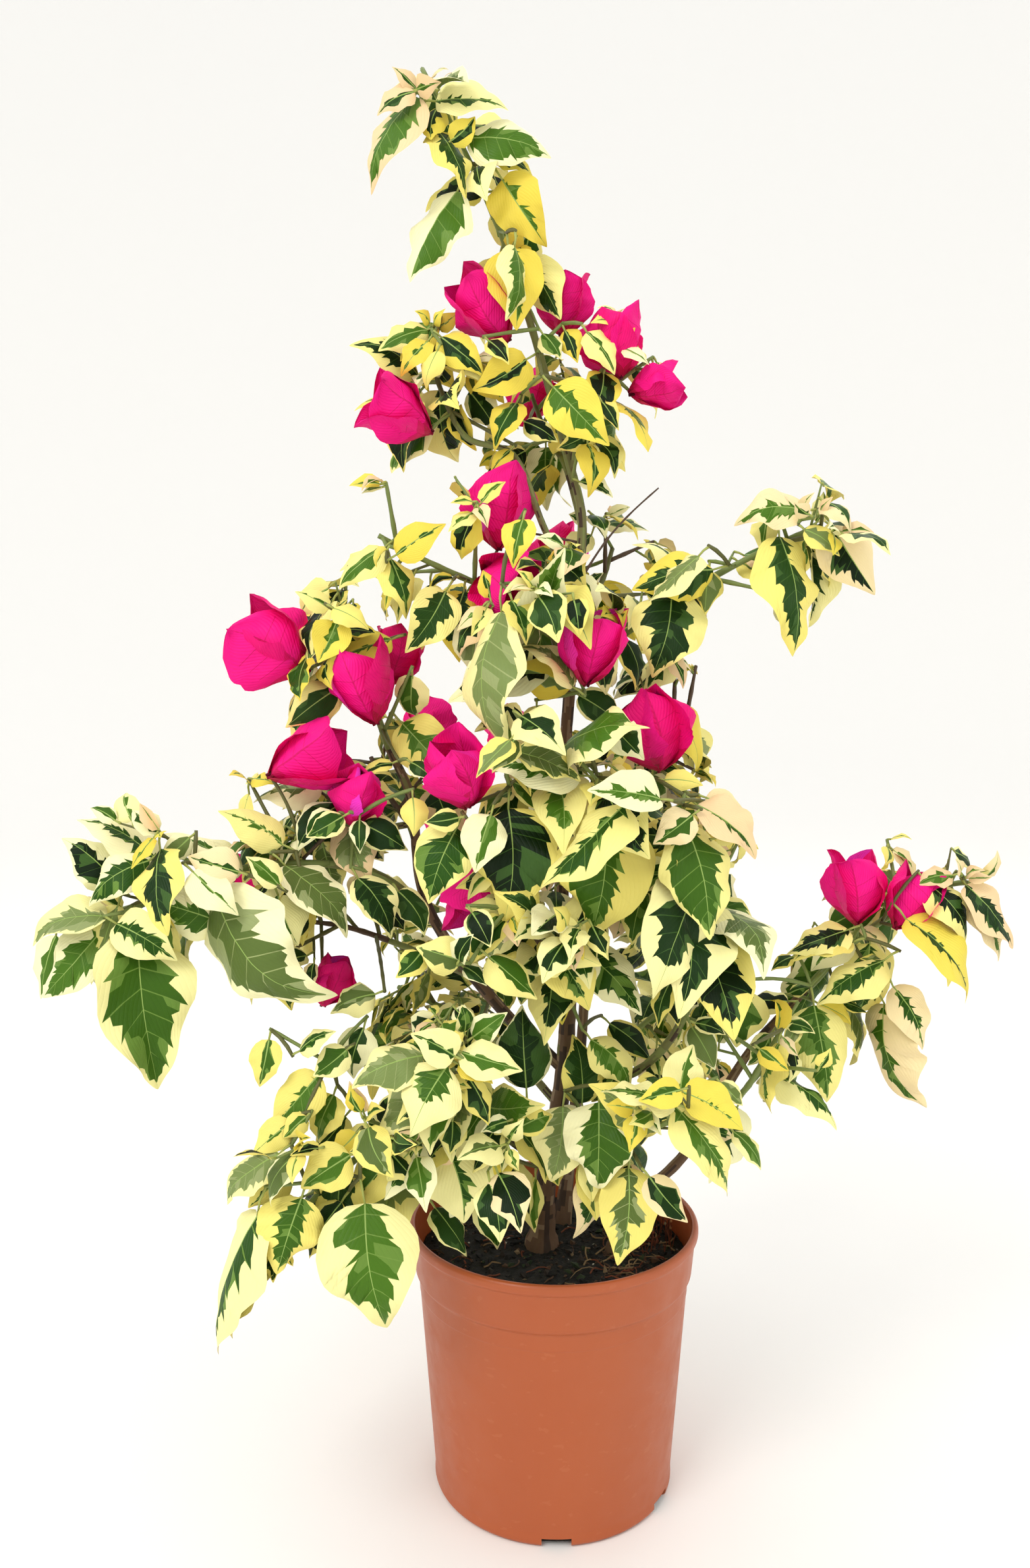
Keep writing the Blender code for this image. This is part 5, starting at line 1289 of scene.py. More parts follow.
# shoots end where their last leaf stands, and bare ones go
def trimShoots():
    for mass in masses.values():
        bases = [leaf["base"] for leaf in mass["leaves"]]
        kept = []
        for foot, tip in mass["fineTwigs"]:
            reach = reachOf([foot, tip], bases)
            if reach > 0:
                kept.append([foot, foot.lerp(tip, reach)])
        mass["fineTwigs"] = kept
        bases += [points[0] for points in kept]
        for twig in mass["twigs"]:
            foot, tip = twig["points"]
            twig["points"] = [foot, foot.lerp(tip, reachOf([foot, tip], bases))]
        mass["twigs"] = [twig for twig in mass["twigs"] if twig["points"][0] != twig["points"][1]]
        bases += [twig["points"][0] for twig in mass["twigs"]]
        bases += [stalk[0] for stalk in mass["stalks"]] + [b["stalk"][0] for b in mass["blooms"]]
        stations = [(i / 60, smoothPoint(mass["stem"], i / 60)) for i in range(61)]
        mass["stemEnd"] = max(at for at, spot in stations
                              if at < fineLook["stemLeast"]
                              or any((spot - base).length < fineLook["stemHold"] for base in bases))


openings.append(fineLook["opening"])
growFine()
trimShoots()
print("fine growth", sum(len(m["leaves"]) for m in masses.values()), "leaves")


# the noise of a place, moved by a seed of its own
def noiseAt(seed, x, y, z):
    return noise.noise(seed + Vector((x, y, z)))


# one growing sheet of faces, with a tone for each face and a map for each corner
class Sheet:
    def __init__(self, tones):
        self.tones = list(tones)
        self.verts = []
        self.faces = []
        self.slots = []
        self.maps = []

    def addPoint(self, place, u=0.5, v=0.5):
        self.verts.append(place * mm)
        self.maps.append((u, v))
        return len(self.verts) - 1

    def addFace(self, corners, tone):
        self.faces.append(corners)
        self.slots.append(self.tones.index(tone))

    def addSolid(self, solid, tone):
        verts, faces = solid
        first = len(self.verts)
        for place in verts:
            self.addPoint(place)
        for face in faces:
            self.addFace(tuple(first + i for i in face), tone)

    def addTube(self, points, radii, sides, tone):
        self.addSolid(tube(points, radii, sides), tone)

    def finish(self, name, materials, nodes):
        mesh = bpy.data.meshes.new(name)
        mesh.from_pydata(self.verts, [], self.faces)
        for material in materials:
            mesh.materials.append(material)
        mesh.polygons.foreach_set("material_index", self.slots)
        layer = mesh.uv_layers.new(name="blade")
        corners = [self.maps[loop.vertex_index] for loop in mesh.loops]
        layer.data.foreach_set("uv", [value for pair in corners for value in pair])
        mesh.shade_smooth()
        mesh.update()
        piece = bpy.data.objects.new(name, mesh)
        bpy.context.scene.collection.objects.link(piece)
        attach(piece, "root")
        if nodes:
            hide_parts(*nodes)
        print(name, len(self.faces), "faces")
        return piece


def grainMaterials(tones, rough, scale, bump, stretch=None):
    return [grainMaterial(name, linear(*colour), rough, scale, bump, stretch)
            for name, colour in tones.items()]


# a blade's faces from its rows: one point at the foot, the rows, one point at the tip
def addBlade(sheet, place, rows, columnsOf, toneOf):
    first = sheet.addPoint(place(0, 0.0), 0.5, 0.0)
    points = []
    for i, t in enumerate(rows):
        points.append([sheet.addPoint(place(u, t), 0.5 + 0.5 * u, t) for u in columnsOf(i)])
    last = sheet.addPoint(place(0, 1.0), 0.5, 1.0)
    for k in range(len(points[0]) - 1):
        sheet.addFace((first, points[0][k + 1], points[0][k]), toneOf(0, k))
        for i in range(len(rows) - 1):
            sheet.addFace((points[i][k], points[i][k + 1], points[i + 1][k + 1], points[i + 1][k]),
                          toneOf(i, k))
        sheet.addFace((points[-1][k], points[-1][k + 1], last), toneOf(len(rows) - 1, k))


# leaves

leafLook = {"veins": 6, "veinWidth": 0.008, "veinFirst": 0.07, "veinStep": 0.135,
            "smallLeaf": 32.0, "tinyLeaf": 19.0, "widen": 1.06,
            "fold": (-0.05, 0.5), "folded": (0.7, 1.1), "foldedShare": 0.14, "roll": (0.2, 1.1),
            "bulge": (0.05, 0.15), "sway": 0.06, "curl": (-0.2, 1.3), "curlFrom": 0.62,
            "twist": 0.35, "slant": 0.8, "wave": (0.03, 0.09), "waves": (1.3, 2.8),
            "uneven": 0.05, "quilt": 0.010, "softEdge": 6.0,
            "taper": (0.60, 0.32, 0.36), "shoulder": (0.64, 0.72),
            "rib": 0.36, "ribMost": 0.2, "petioleRadii": (0.75, 0.62, 0.5), "petioleBow": 0.015,
            "outerPatch": 0.14, "innerPatch": -0.36}

# how the green ends: the loose, swinging and short steps for a leaf mostly green, and for others
greenLook = {"mostly": 0.8, "loose": (0.12, 0.62), "swing": (0.06, 0.13), "step": (0.04, 0.11),
             "placedRagged": 0.7, "bare": 0.04, "narrow": 0.70, "fade": 0.12, "most": 0.95}

# the dark greens, dark_a to dark_c, are partly older leaves and partly painted shade for leaves inside
# the crown
leafTones = {
    "green_a": (60, 98, 20), "green_b": (72, 112, 25), "green_c": (40, 78, 14),
    "dark_a": (12, 33, 6), "dark_b": (22, 50, 11), "dark_c": (36, 68, 17),
    "soft_a": (108, 128, 66), "soft_b": (124, 142, 80), "soft_c": (92, 112, 52),
    "patch_green": (104, 138, 56), "patch_dark": (60, 92, 38), "patch_soft": (150, 162, 106),
    "vein_green": (112, 144, 62), "vein_dark": (60, 92, 36), "vein_soft": (156, 168, 108),
    "pale_a": (250, 243, 167), "pale_b": (251, 247, 193), "warm_a": (247, 232, 122),
    "warm_b": (248, 238, 145), "yellow_a": (241, 221, 85), "yellow_b": (237, 213, 77),
    "peach_a": (249, 228, 174), "peach_b": (244, 213, 162), "rib": (150, 178, 92),
    "petiole": (166, 174, 92),
}
groups = {"g": ("green_a", "green_b", "green_c"), "d": ("dark_a", "dark_b", "dark_c"),
          "s": ("soft_a", "soft_b", "soft_c"), "p": ("pale_a", "pale_b"), "w": ("warm_a", "warm_b"),
          "y": ("yellow_a", "yellow_b"), "k": ("peach_a", "peach_b")}
extras = {"g": ("patch_green", "vein_green"), "d": ("patch_dark", "vein_dark"),
          "s": ("patch_soft", "vein_soft")}
roughTurn = 6.3  # a little over a full turn, for waves and their phases

# chance up to, and how green the left and the right half may be
leafKinds = [(0.16, (0.0, 0.25), (0.1, 0.4)), (0.38, (0.70, 0.92), (0.70, 0.92)),
             (0.50, (0.1, 0.35), (0.6, 0.9)), (0.62, (0.6, 0.9), (0.1, 0.35)),
             (1.00, (0.4, 0.75), (0.4, 0.75))]
youngGreen = (0.0, 0.4)


# half the width along a blade: round shoulders, then a taper from one place over a length by a share
def bladeHalf(t, shoulder, taper):
    if t <= 0 or t >= 1:
        return 0.0
    start, over, share = taper
    early, full = shoulder
    return (math.sin(math.pi * t ** early) ** full
            * (1 - share * min(1.0, max(0.0, (t - start) / over))))


def leafHalf(t):
    return bladeHalf(t, leafLook["shoulder"], leafLook["taper"])


# how green a leaf is on either side, how far up, and its tones
def leafPlan(leaf, rng):
    if "look" in leaf:
        right, left, letters, end = leaf["look"]
        reach = (left / 100, right / 100)
        edge, inner = letters
        end = end / 100
    else:
        chance = rng.random()
        if leaf.get("young"):
            reach = (rng.uniform(*youngGreen), rng.uniform(*youngGreen))
            edge = rng.choice("kwwyp")
            inner = "g"
        else:
            left, right = next(kind[1:] for kind in leafKinds if chance < kind[0])
            reach = (rng.uniform(*left), rng.uniform(*right))
            edge = rng.choice(leaf["edges"])
            # leaves of the shaded masses mostly take the dark greens: painted shade, partly older
            # leaves
            inner = rng.choice("ddddgs" if leaf["shaded"] else "gggddds")
        end = rng.uniform(0.72, 0.97)
    tones = {"inner": rng.choice(groups[inner]), "edge": rng.choice(groups[edge])}
    tones["patch"], tones["vein"] = extras[inner]
    return reach, end, tones


# where the rows of a blade's faces stand, and which of them are side veins
def leafRows(length):
    if length < leafLook["tinyLeaf"]:
        return [0.03, 0.14, 0.3, 0.48, 0.66, 0.82, 0.93], set()
    if length < leafLook["smallLeaf"]:
        return [0.015, 0.06, 0.13, 0.22, 0.31, 0.40, 0.49, 0.58, 0.67, 0.76, 0.85, 0.93], set()
    rows = [0.010, 0.032]
    veins = set()
    for k in range(leafLook["veins"]):
        start = leafLook["veinFirst"] + leafLook["veinStep"] * k
        veins.add(len(rows))
        rows += [start, start + leafLook["veinWidth"], start + 0.052, start + 0.094]
    return rows + [0.90, 0.95], veins


# how far the green reaches from the midrib at each row, on either side
def leafGreens(rows, veins, reach, end, ragged, seed, rng):
    greens = []
    for i, t in enumerate(rows):
        pair = []
        for hand, full in enumerate(reach):
            if full < greenLook["bare"] or t > end:
                pair.append(0.0)
                continue
            kind = 0 if full > greenLook["mostly"] else 1
            narrow = greenLook["narrow"]
            shape = narrow + (1 - narrow) * math.sin(math.pi * min(1.0, t / end))
            drift = ragged * greenLook["loose"][kind] * noiseAt(seed, t * 5.5, hand * 7, 0)
            if veins:
                swing = rng.uniform(0.2, 1.5) if i in veins else rng.uniform(-1.2, 0.4)
                step = greenLook["swing"][kind] * swing
            else:
                step = greenLook["step"][kind] * rng.uniform(-1.3, 0.9)
            fade = min(1.0, (end - t) / greenLook["fade"] + 0.25)
            pair.append(min(greenLook["most"], max(0.0, (full * shape + drift + step) * fade)))
        greens.append(pair)
    return greens


def addLeaf(sheet, leaf, rng):
    look = leafLook
    length = leaf["length"]
    axis = leaf["axis"]
    normal = across(axis, leaf["facing"])
    side = axis.cross(normal)
    start = leaf["base"] + axis * length * rule["petiole"]
    width = leaf["width"] * look["widen"]
    bulge = rng.uniform(*look["bulge"]) * length
    sway = rng.uniform(-1, 1) * look["sway"] * length
    curl = rng.uniform(*look["curl"]) * length
    fold = rng.uniform(*look["fold"])
    roll = rng.uniform(*look["roll"])
    if rng.random() < look["foldedShare"] and "look" not in leaf:
        fold = rng.uniform(*look["folded"])
    if "look" in leaf:
        width *= roll / (math.sin(fold) - math.sin(fold - roll))
    twist = rng.uniform(-1, 1) * look["twist"]
    wave = rng.uniform(*look["wave"]) * width
    waves = (rng.uniform(*look["waves"]), rng.uniform(*look["waves"]))
    phases = (rng.uniform(0, roughTurn), rng.uniform(0, roughTurn))
    seed = Vector((rng.uniform(0, 90), rng.uniform(0, 90), 0))
    reach, end, tones = leafPlan(leaf, rng)
    rows, veins = leafRows(length)

    def midrib(t):
        late = max(0.0, t - look["curlFrom"])
        return (start + axis * length * t + normal * (bulge * 4 * t * (1 - t) - curl * late ** 2)
                + side * sway * math.sin(math.pi * t))

    def place(u, t):
        aside = abs(u)
        hand = 0 if u < 0 else 1
        along = min(1.0, t + look["slant"] * aside * t * (1 - t))
        tangent = (midrib(along + 0.02) - midrib(along - 0.02)).normalized()
        lift = across(tangent, normal + side * twist * along)
        half = leafHalf(along) * width / 2
        half *= 1 + look["uneven"] * noiseAt(seed, along * 8, 11 + hand, 0)
        bend = roll * aside
        wide = (math.sin(fold) - math.sin(fold - bend)) / roll
        rise = (math.cos(fold - bend) - math.cos(fold)) / roll
        ripple = wave * aside ** 2 * math.sin(waves[hand] * along * roughTurn + phases[hand])
        quilt = look["quilt"] * length * noiseAt(seed, u * 2.2, along * 7, 5)
        soft = min(1.0, half / look["softEdge"])
        return (midrib(along) + tangent.cross(lift) * half * math.copysign(wide, u) * (1 if u else 0)
                + lift * (half * rise + ripple * soft + quilt * soft))

    ragged = greenLook["placedRagged"] if "look" in leaf else 1.0
    greens = leafGreens(rows, veins, reach, end, ragged, seed, rng)
    ribs = [min(look["ribMost"], look["rib"] * (1.1 - t) / max(1.0, leafHalf(t) * width / 2))
            for t in rows]

    # from the midrib out: the rib, the inner green, the outer green and two strips of margin
    def columnsOf(i):
        sides = []
        for hand in (0, 1):
            green = max(greens[i][hand], ribs[i] + 0.06)
            share = 0.6 + 0.9 * noiseAt(seed, rows[i] * 6, 3, hand)
            split = ribs[i] + (green - ribs[i]) * min(0.9, max(0.2, share))
            sides.append((split, green, (1 + green) / 2, 1.0))
        return [-v for v in reversed(sides[0])] + [-ribs[i], ribs[i]] + list(sides[1])

    def toneOf(i, k):
        if k == 4:
            return "rib"
        hand = 0 if k < 4 else 1
        strip = 3 - k if k < 4 else k - 5
        if strip > 1 or greens[i][hand] <= 0.02:
            return tones["edge"]
        if i in veins:
            return tones["vein"]
        patchy = noiseAt(seed, rows[i] * 4, 20, hand * 3)
        if patchy > look["outerPatch"] if strip == 1 else patchy < look["innerPatch"]:
            return tones["patch"]
        return tones["inner"]

    foot = leaf["base"]
    bow = normal * length * look["petioleBow"]
    sheet.addTube([foot, foot.lerp(start, 0.5) + bow, start + axis * 0.5], look["petioleRadii"], 5,
                  "petiole")
    addBlade(sheet, place, rows, columnsOf, toneOf)


# the same masses in four pieces, each well under the size limit
leafPieces = {
    "leaves_upper": ["top", "upper_left", "upper_right", "back_top", "back_high", "left_high",
                     "left_wing"],
    "leaves_left": ["left_mid", "far_left", "left_low", "low_left", "back_left", "back_low_left"],
    "leaves_middle": ["front_high", "front_mid", "core_front", "core_right", "low_front_left",
                      "low_front_right", "back_mid"],
    "leaves_right": ["front_right", "right_high", "right_mid", "far_right", "right_low",
                     "back_low_right", "back_right"],
}
yellowMasses = ("top", "upper_left", "upper_right", "left_high", "left_wing", "back_top",
                "back_high")
# masses inside the crown, whose leaves mostly take the dark greens as painted shade and whose twigs
# take the woody tones
shadedMasses = ("core_front", "core_right", "left_low", "left_mid", "right_mid", "back_mid",
                "back_left", "back_right", "back_high")


def makeLeaves():
    materials = []
    for name, colour in leafTones.items():
        green = name.startswith(("green", "dark", "soft", "patch", "vein"))
        rough, gloss = (0.42, 0.16) if green else (0.5, 0.3)
        materials.append(bladeMaterial("leaf_" + name, linear(*colour), rough, 7, 0.30, gloss))
    for group, names in leafPieces.items():
        sheet = Sheet(leafTones)
        for name in names:
            rng = random.Random("blade " + name)
            for leaf in masses[name]["leaves"]:
                leaf["shaded"] = name in shadedMasses
                leaf["edges"] = "pwwwyyy" if name in yellowMasses else "pppwwwwwpk"
                addLeaf(sheet, leaf, rng)
        sheet.finish(group, materials, names)


makeLeaves()


# blooms: three papery bracts that lean together round a few narrow flowers

bractLook = {"rows": 20, "width": 1.16, "broad": (0.9, 1.08), "long": (1.06, 1.2),
             "foot": (0.72, 1.08), "open": (-0.75, 0.05), "openEach": 0.25, "turnEach": 0.2,
             "turnBy": 0.9, "flare": (-0.3, 1.2), "flareFrom": 0.62, "fold": (0.08, 0.42),
             "cup": (0.35, 0.9), "slant": 0.5, "crinkle": 2.1, "fineCrinkle": 0.4,
             "wave": (0.5, 1.8), "tipTwist": 0.16, "steps": 24, "ragged": ((6, 0.07), (21, 0.035)),
             "shoulder": (1.04, 0.6), "taper": (0.88, 0.1, 0.5), "veins": (4, 7, 10, 13),
             "veinWidth": 0.008, "lightShare": 0.35, "softEdge": 6.0,
             "columns": (-1, -0.84, -0.66, -0.46, -0.24, -0.02, 0.02, 0.24, 0.46, 0.66, 0.84, 1)}
flowerLook = {"reach": (14, 19), "aside": (1.2, 1.0, 2.4), "radii": (0.8, 1.1, 1.3),
              "budRadii": (1.3, 1.15, 0.35), "sides": 7, "bud": (1.6, 3.2), "turn": 0.5,
              "star": (3.1, 1.2), "starSides": 20, "starHigh": (0.4, 0.6, 1.4),
              "openFrom": -0.6, "openShare": 0.35}
# the third and fourth colours are lighter copies of the bract colour: painted light on the lit side of
# some bracts
bractTones = {"bract_a": (248, 16, 136), "bract_b": (240, 12, 122), "bract_c": (250, 40, 164),
              # the fifth and sixth colours are darker copies of the bract colour: painted shade at a
              # bloom's foot, where the bracts meet
              "bract_light": (238, 52, 190), "bract_painted_shade": (222, 8, 100), "bract_foot_shade": (190, 12, 70),
              "bract_vein": (216, 8, 104), "flower_red": (136, 14, 48), "flower_dark": (92, 14, 40),
              "flower_cream": (250, 242, 214), "flower_throat": (196, 150, 60)}


# where the rows of a bract's faces stand, and which of them are side veins
def bractRows():
    rows = [0.02, 0.06]
    veinRows = set()
    for i in range(2, bractLook["rows"]):
        t = i / (bractLook["rows"] + 0.2)
        if i in bractLook["veins"]:
            veinRows.add(len(rows))
            rows.append(t - bractLook["veinWidth"])
        rows.append(t)
    return rows, veinRows


def addBract(sheet, bloom, k, openness, rng):
    look = bractLook
    heading = bloom["heading"]
    turn = look["turnEach"]
    angle = bloom["turn"] + 2 * math.pi * k / 3 + rng.uniform(-turn, turn)
    out = spokeAt(heading, across(heading, up), angle)
    around = heading.cross(out)
    length = bloom["length"] * rng.uniform(*look["long"])
    width = bloom["length"] * look["width"] * rng.uniform(*look["broad"])
    first = rng.uniform(*look["foot"])
    last = openness + rng.uniform(-look["openEach"], look["openEach"])
    flare = rng.uniform(*look["flare"])
    fold = rng.uniform(*look["fold"])
    cup = rng.uniform(*look["cup"])
    wave = rng.uniform(*look["wave"])
    phases = (rng.uniform(0, roughTurn), rng.uniform(0, roughTurn))
    tipTwist = rng.uniform(-look["tipTwist"], look["tipTwist"]) * length
    seed = Vector((rng.uniform(0, 90), 0, k * 9))
    body = rng.choice(("bract_a", "bract_a", "bract_b"))
    # some bracts get a lighter copy of their colour on one side: painted light
    paintedLit = rng.choice(("bract_c", "bract_light"))
    showsLight = rng.random() < look["lightShare"]
    rows, veinRows = bractRows()

    def bendAt(t):
        late = max(0.0, t - look["flareFrom"]) / (1 - look["flareFrom"])
        return first + (last - first) * min(1.0, t / look["turnBy"]) + flare * late ** 2

    spine = [bloom["base"]]
    step = 1.0 / look["steps"]
    for i in range(look["steps"]):
        bend = bendAt((i + 0.5) * step)
        spine.append(spine[-1] + (out * math.sin(bend) + heading * math.cos(bend)) * length * step)

    def place(u, t):
        along = min(1.0, t + look["slant"] * abs(u) * t * (1 - t))
        bend = bendAt(along)
        inward = heading * math.sin(bend) - out * math.cos(bend)
        half = bladeHalf(along, look["shoulder"], look["taper"]) * width / 2
        for often, swing in look["ragged"]:
            half *= 1 + swing * noiseAt(seed, along * often, 3, u)
        bowed = fold + cup * abs(u)
        wide = (math.sin(bowed) - math.sin(fold)) / cup
        deep = (math.cos(fold) - math.cos(bowed)) / cup
        ripple = wave * u * u * math.sin(along * 9 + phases[0 if u < 0 else 1])
        crinkle = look["crinkle"] * (noiseAt(seed, u * 2.4, along * 4.2, 5)
                                     + look["fineCrinkle"] * noiseAt(seed, u * 6, along * 11, 8))
        return (smoothPoint(spine, along) + around * math.copysign(wide, u) * half * (1 if u else 0)
                + around * tipTwist * along ** 3
                + inward * (deep * half + (crinkle + ripple) * min(1.0, half / look["softEdge"])))

    def toneOf(i, j):
        if j == 5:
            return "bract_vein"
        # the foot rows darkest, the next rows and the middle of those above darker: painted shade where
        # the bracts meet
        if i < 2:
            return "bract_foot_shade"
        if i < 4 or (i < 6 and 3 < j < 7):
            return "bract_painted_shade"
        if i in veinRows and 1 < j < 9:
            return "bract_vein"
        # the chosen side of such a bract is painted light
        return paintedLit if showsLight and j > 7 else body

    addBlade(sheet, place, rows, lambda i: look["columns"], toneOf)


# a narrow tube, closed like a bud or opening into a small five-pointed star
def addFlower(sheet, bloom, k, isOpen, rng):
    look = flowerLook
    heading = bloom["heading"]
    angle = bloom["turn"] + 2 * math.pi * (k + 0.5) / 3 + rng.uniform(-look["turn"], look["turn"])
    out = spokeAt(heading, across(heading, up), angle)
    reach = rng.uniform(*look["reach"])
    atFoot, atMiddle, atEnd = look["aside"]
    base = bloom["base"] + out * atFoot
    points = [base, base + heading * reach * 0.5 + out * atMiddle, base + heading * reach + out * atEnd]
    body = rng.choice(("flower_red", "flower_dark"))
    sheet.addTube(points, look["radii"], look["sides"], body)
    axis = (points[2] - points[1]).normalized()
    if not isOpen:
        bud = [points[2]] + [points[2] + axis * rise for rise in look["bud"]]
        sheet.addTube(bud, look["budRadii"], look["sides"], body)
        return
    middleHigh, innerHigh, rimHigh = look["starHigh"]
    first = sheet.addPoint(points[2] + axis * middleHigh)
    flat = across(axis, up)
    count = look["starSides"]
    mean, point = look["star"]
    inner = []
    rim = []
    for j in range(count):
        turn = 2 * math.pi * j / count
        spoke = spokeAt(axis, flat, turn)
        rim.append(sheet.addPoint(points[2] + axis * rimHigh
                                  + spoke * (mean + point * math.cos(5 * turn))))
        inner.append(sheet.addPoint(points[2] + axis * innerHigh + spoke))
    for j in range(count):
        n = (j + 1) % count
        sheet.addFace((first, inner[j], inner[n]), "flower_throat")
        sheet.addFace((inner[j], rim[j], rim[n], inner[n]), "flower_cream")


def makeBlooms():
    materials = [bladeMaterial("bloom_" + name, linear(*colour), 0.62, 9, 0.55, 0.2)
                 for name, colour in bractTones.items()]
    sheet = Sheet(bractTones)
    for name, mass in masses.items():
        rng = random.Random("bract " + name)
        for bloom in mass["blooms"]:
            openness = rng.uniform(*bractLook["open"])
            flowering = openness > flowerLook["openFrom"] and rng.random() < flowerLook["openShare"]
            for k in range(3):
                addBract(sheet, bloom, k, openness, rng)
            for k in range(3):
                addFlower(sheet, bloom, k, flowering and k < 2, rng)
    sheet.finish("blooms", materials, [])


makeBlooms()


# twigs and stalks

twigLook = {"sides": 6, "stepLength": 5.0, "swell": 0.22, "swellEvery": 3, "bow": 0.07,
            "twigRadii": (1.25, 0.8), "shootRadii": (0.8, 0.5), "stalkRadii": (1.05, 0.8),
            "bloomRadii": (1.0, 0.75), "dryRadii": (0.7, 0.4),
            "stemSteps": 16, "stemSides": 8, "stemSwell": 0.12, "stemIn": 1.5,
            "woody": ("twig_olive", "twig_brown"), "green": ("twig_green", "twig_green", "twig_olive"),
            "stalk": ("twig_green", "twig_olive"), "dry": ("twig_dry",)}
twigTones = {"twig_green": (120, 136, 70), "twig_olive": (96, 98, 50), "twig_brown": (82, 62, 42),
             "twig_dry": (86, 66, 52)}
# two dead flower stalks that kept no bloom
dryStalks = [[(12, 0, 481), (32, -4, 505), (53, -6, 530)],
             [(13, 0, 503), (-22, -6, 506), (-54, -7, 509)]]


# a slightly bowed shoot with swellings where leaves leave it
def addTwig(sheet, points, kind, tones, rng, bend=0.0):
    thick, thin = twigLook[kind]
    steps = max(3, int(lengthOf(points) / twigLook["stepLength"]))
    axis = (points[-1] - points[0]).normalized()
    bow = across(axis, up) * lengthOf(points) * bend * rng.uniform(-0.3, 1.0)
    path = [p + bow * math.sin(math.pi * i / steps) for i, p in enumerate(resample(points, steps))]
    radii = []
    for i in range(steps + 1):
        swollen = i % twigLook["swellEvery"] == 2
        radii.append((thick + (thin - thick) * i / steps) * (1 + (twigLook["swell"] if swollen else 0)))
    sheet.addTube(path, radii, twigLook["sides"], rng.choice(twigLook[tones]))


# the stem of one mass, up to its last leaf
def addMassStem(sheet, mass, tones, rng):
    steps = twigLook["stemSteps"]
    end = mass["stemEnd"]
    path = resample(mass["stem"], steps, 0.0, end)
    path[0] = path[0] - (path[1] - path[0]).normalized() * twigLook["stemIn"]
    thick, thin = mass["radii"][0], mass["radii"][-1]
    radii = []
    for i in range(steps + 1):
        swollen = i % twigLook["swellEvery"] == 1
        radii.append((thick + (thin - thick) * end * i / steps)
                     * (1 + (twigLook["stemSwell"] if swollen else 0)))
    sheet.addTube(path, radii, twigLook["stemSides"], rng.choice(twigLook[tones]))


def makeTwigs():
    materials = grainMaterials(twigTones, 0.6, 700, 0.3, (1, 1, 0.3))
    sheet = Sheet(twigTones)
    bow = twigLook["bow"]
    for name, mass in masses.items():
        rng = random.Random("shoot " + name)
        tones = "woody" if name in shadedMasses else "green"
        addMassStem(sheet, mass, tones, rng)
        for twig in mass["twigs"]:
            addTwig(sheet, twig["points"], "twigRadii", tones, rng)
        for points in mass["fineTwigs"]:
            addTwig(sheet, points, "shootRadii", "green", rng)
        for points in mass["stalks"]:
            addTwig(sheet, points, "stalkRadii", "stalk", rng, bow)
        for bloom in mass["blooms"]:
            addTwig(sheet, bloom["stalk"], "bloomRadii", "stalk", rng, bow)
    rng = random.Random("dry")
    for points in dryStalks:
        addTwig(sheet, [Vector(p) for p in points], "dryRadii", "dry", rng, bow)
    sheet.finish("twigs", materials, [])


makeTwigs()


# stems and boughs with the relief of their bark

barkLook = {"sides": 14, "stepLength": 3.0, "ridge": 0.09, "lump": 0.10, "sink": 3.0, "thin": 2.8,
            "young": (0.4, 0.3, 0.4), "greenFrom": 0.55, "oliveFrom": 0.40, "greyFrom": 0.22,
            "darkUnder": -0.12, "tip": 0.2}
barkTones = {"bark_brown": (104, 79, 56), "bark_dark": (62, 45, 32), "bark_grey": (140, 118, 92),
             "bark_olive": (112, 112, 66), "bark_green": (124, 134, 74)}


# thin limbs and the upper ends are greener, old bark is patched
def barkTone(limb, upTheLimb, patch):
    thinShare, endShare, patchShare = barkLook["young"]
    young = (limb["spec"]["radius"][0] < barkLook["thin"]) * thinShare
    young += upTheLimb * endShare + patch * patchShare
    if young > barkLook["greenFrom"]:
        return "bark_green"
    if young > barkLook["oliveFrom"]:
        return "bark_olive"
    if patch > barkLook["greyFrom"]:
        return "bark_grey"
    return "bark_dark" if patch < barkLook["darkUnder"] else "bark_brown"


def addLimb(sheet, name, limb):
    steps = max(6, int(lengthOf(limb["points"]) / barkLook["stepLength"]))
    path = resample(limb["curve"], steps, 0.0, limb["end"])
    radii = limbRadii(limb["spec"], steps, 0.0, limb["end"])
    if limb["footAxis"]:
        path[0] = path[0] - up * barkLook["sink"]
    seed = Vector((len(name) * 3.7, ord(name[0]), ord(name[-1])))
    sides = barkLook["sides"]
    side = across((path[1] - path[0]).normalized(), curveHint)
    rings = []
    for i, centre in enumerate(path):
        axis = (path[min(i + 1, steps)] - path[max(i - 1, 0)]).normalized()
        side = across(axis, side)
        lump = barkLook["lump"] * noiseAt(seed, i * 0.45, 9, 0)
        ring = []
        for k in range(sides):
            angle = 2 * math.pi * k / sides
            ridge = barkLook["ridge"] * noiseAt(seed, angle * 2.2, i * 0.10, 0)
            spoke = spokeAt(axis, side, angle) * radii[i] * (1 + ridge + lump)
            ring.append(sheet.addPoint(centre + spoke, k / sides, i / steps))
        rings.append(ring)
    for i, (low, high) in enumerate(zip(rings, rings[1:])):
        for k in range(sides):
            n = (k + 1) % sides
            patch = noiseAt(seed, k * 0.5, i * 0.18, 4)
            sheet.addFace((low[k], low[n], high[n], high[k]), barkTone(limb, i / steps, patch))
    tip = sheet.addPoint(path[-1] + (path[-1] - path[-2]).normalized() * barkLook["tip"], 0.5, 1)
    for k in range(sides):
        sheet.addFace((rings[-1][k], rings[-1][(k + 1) % sides], tip), "bark_brown")


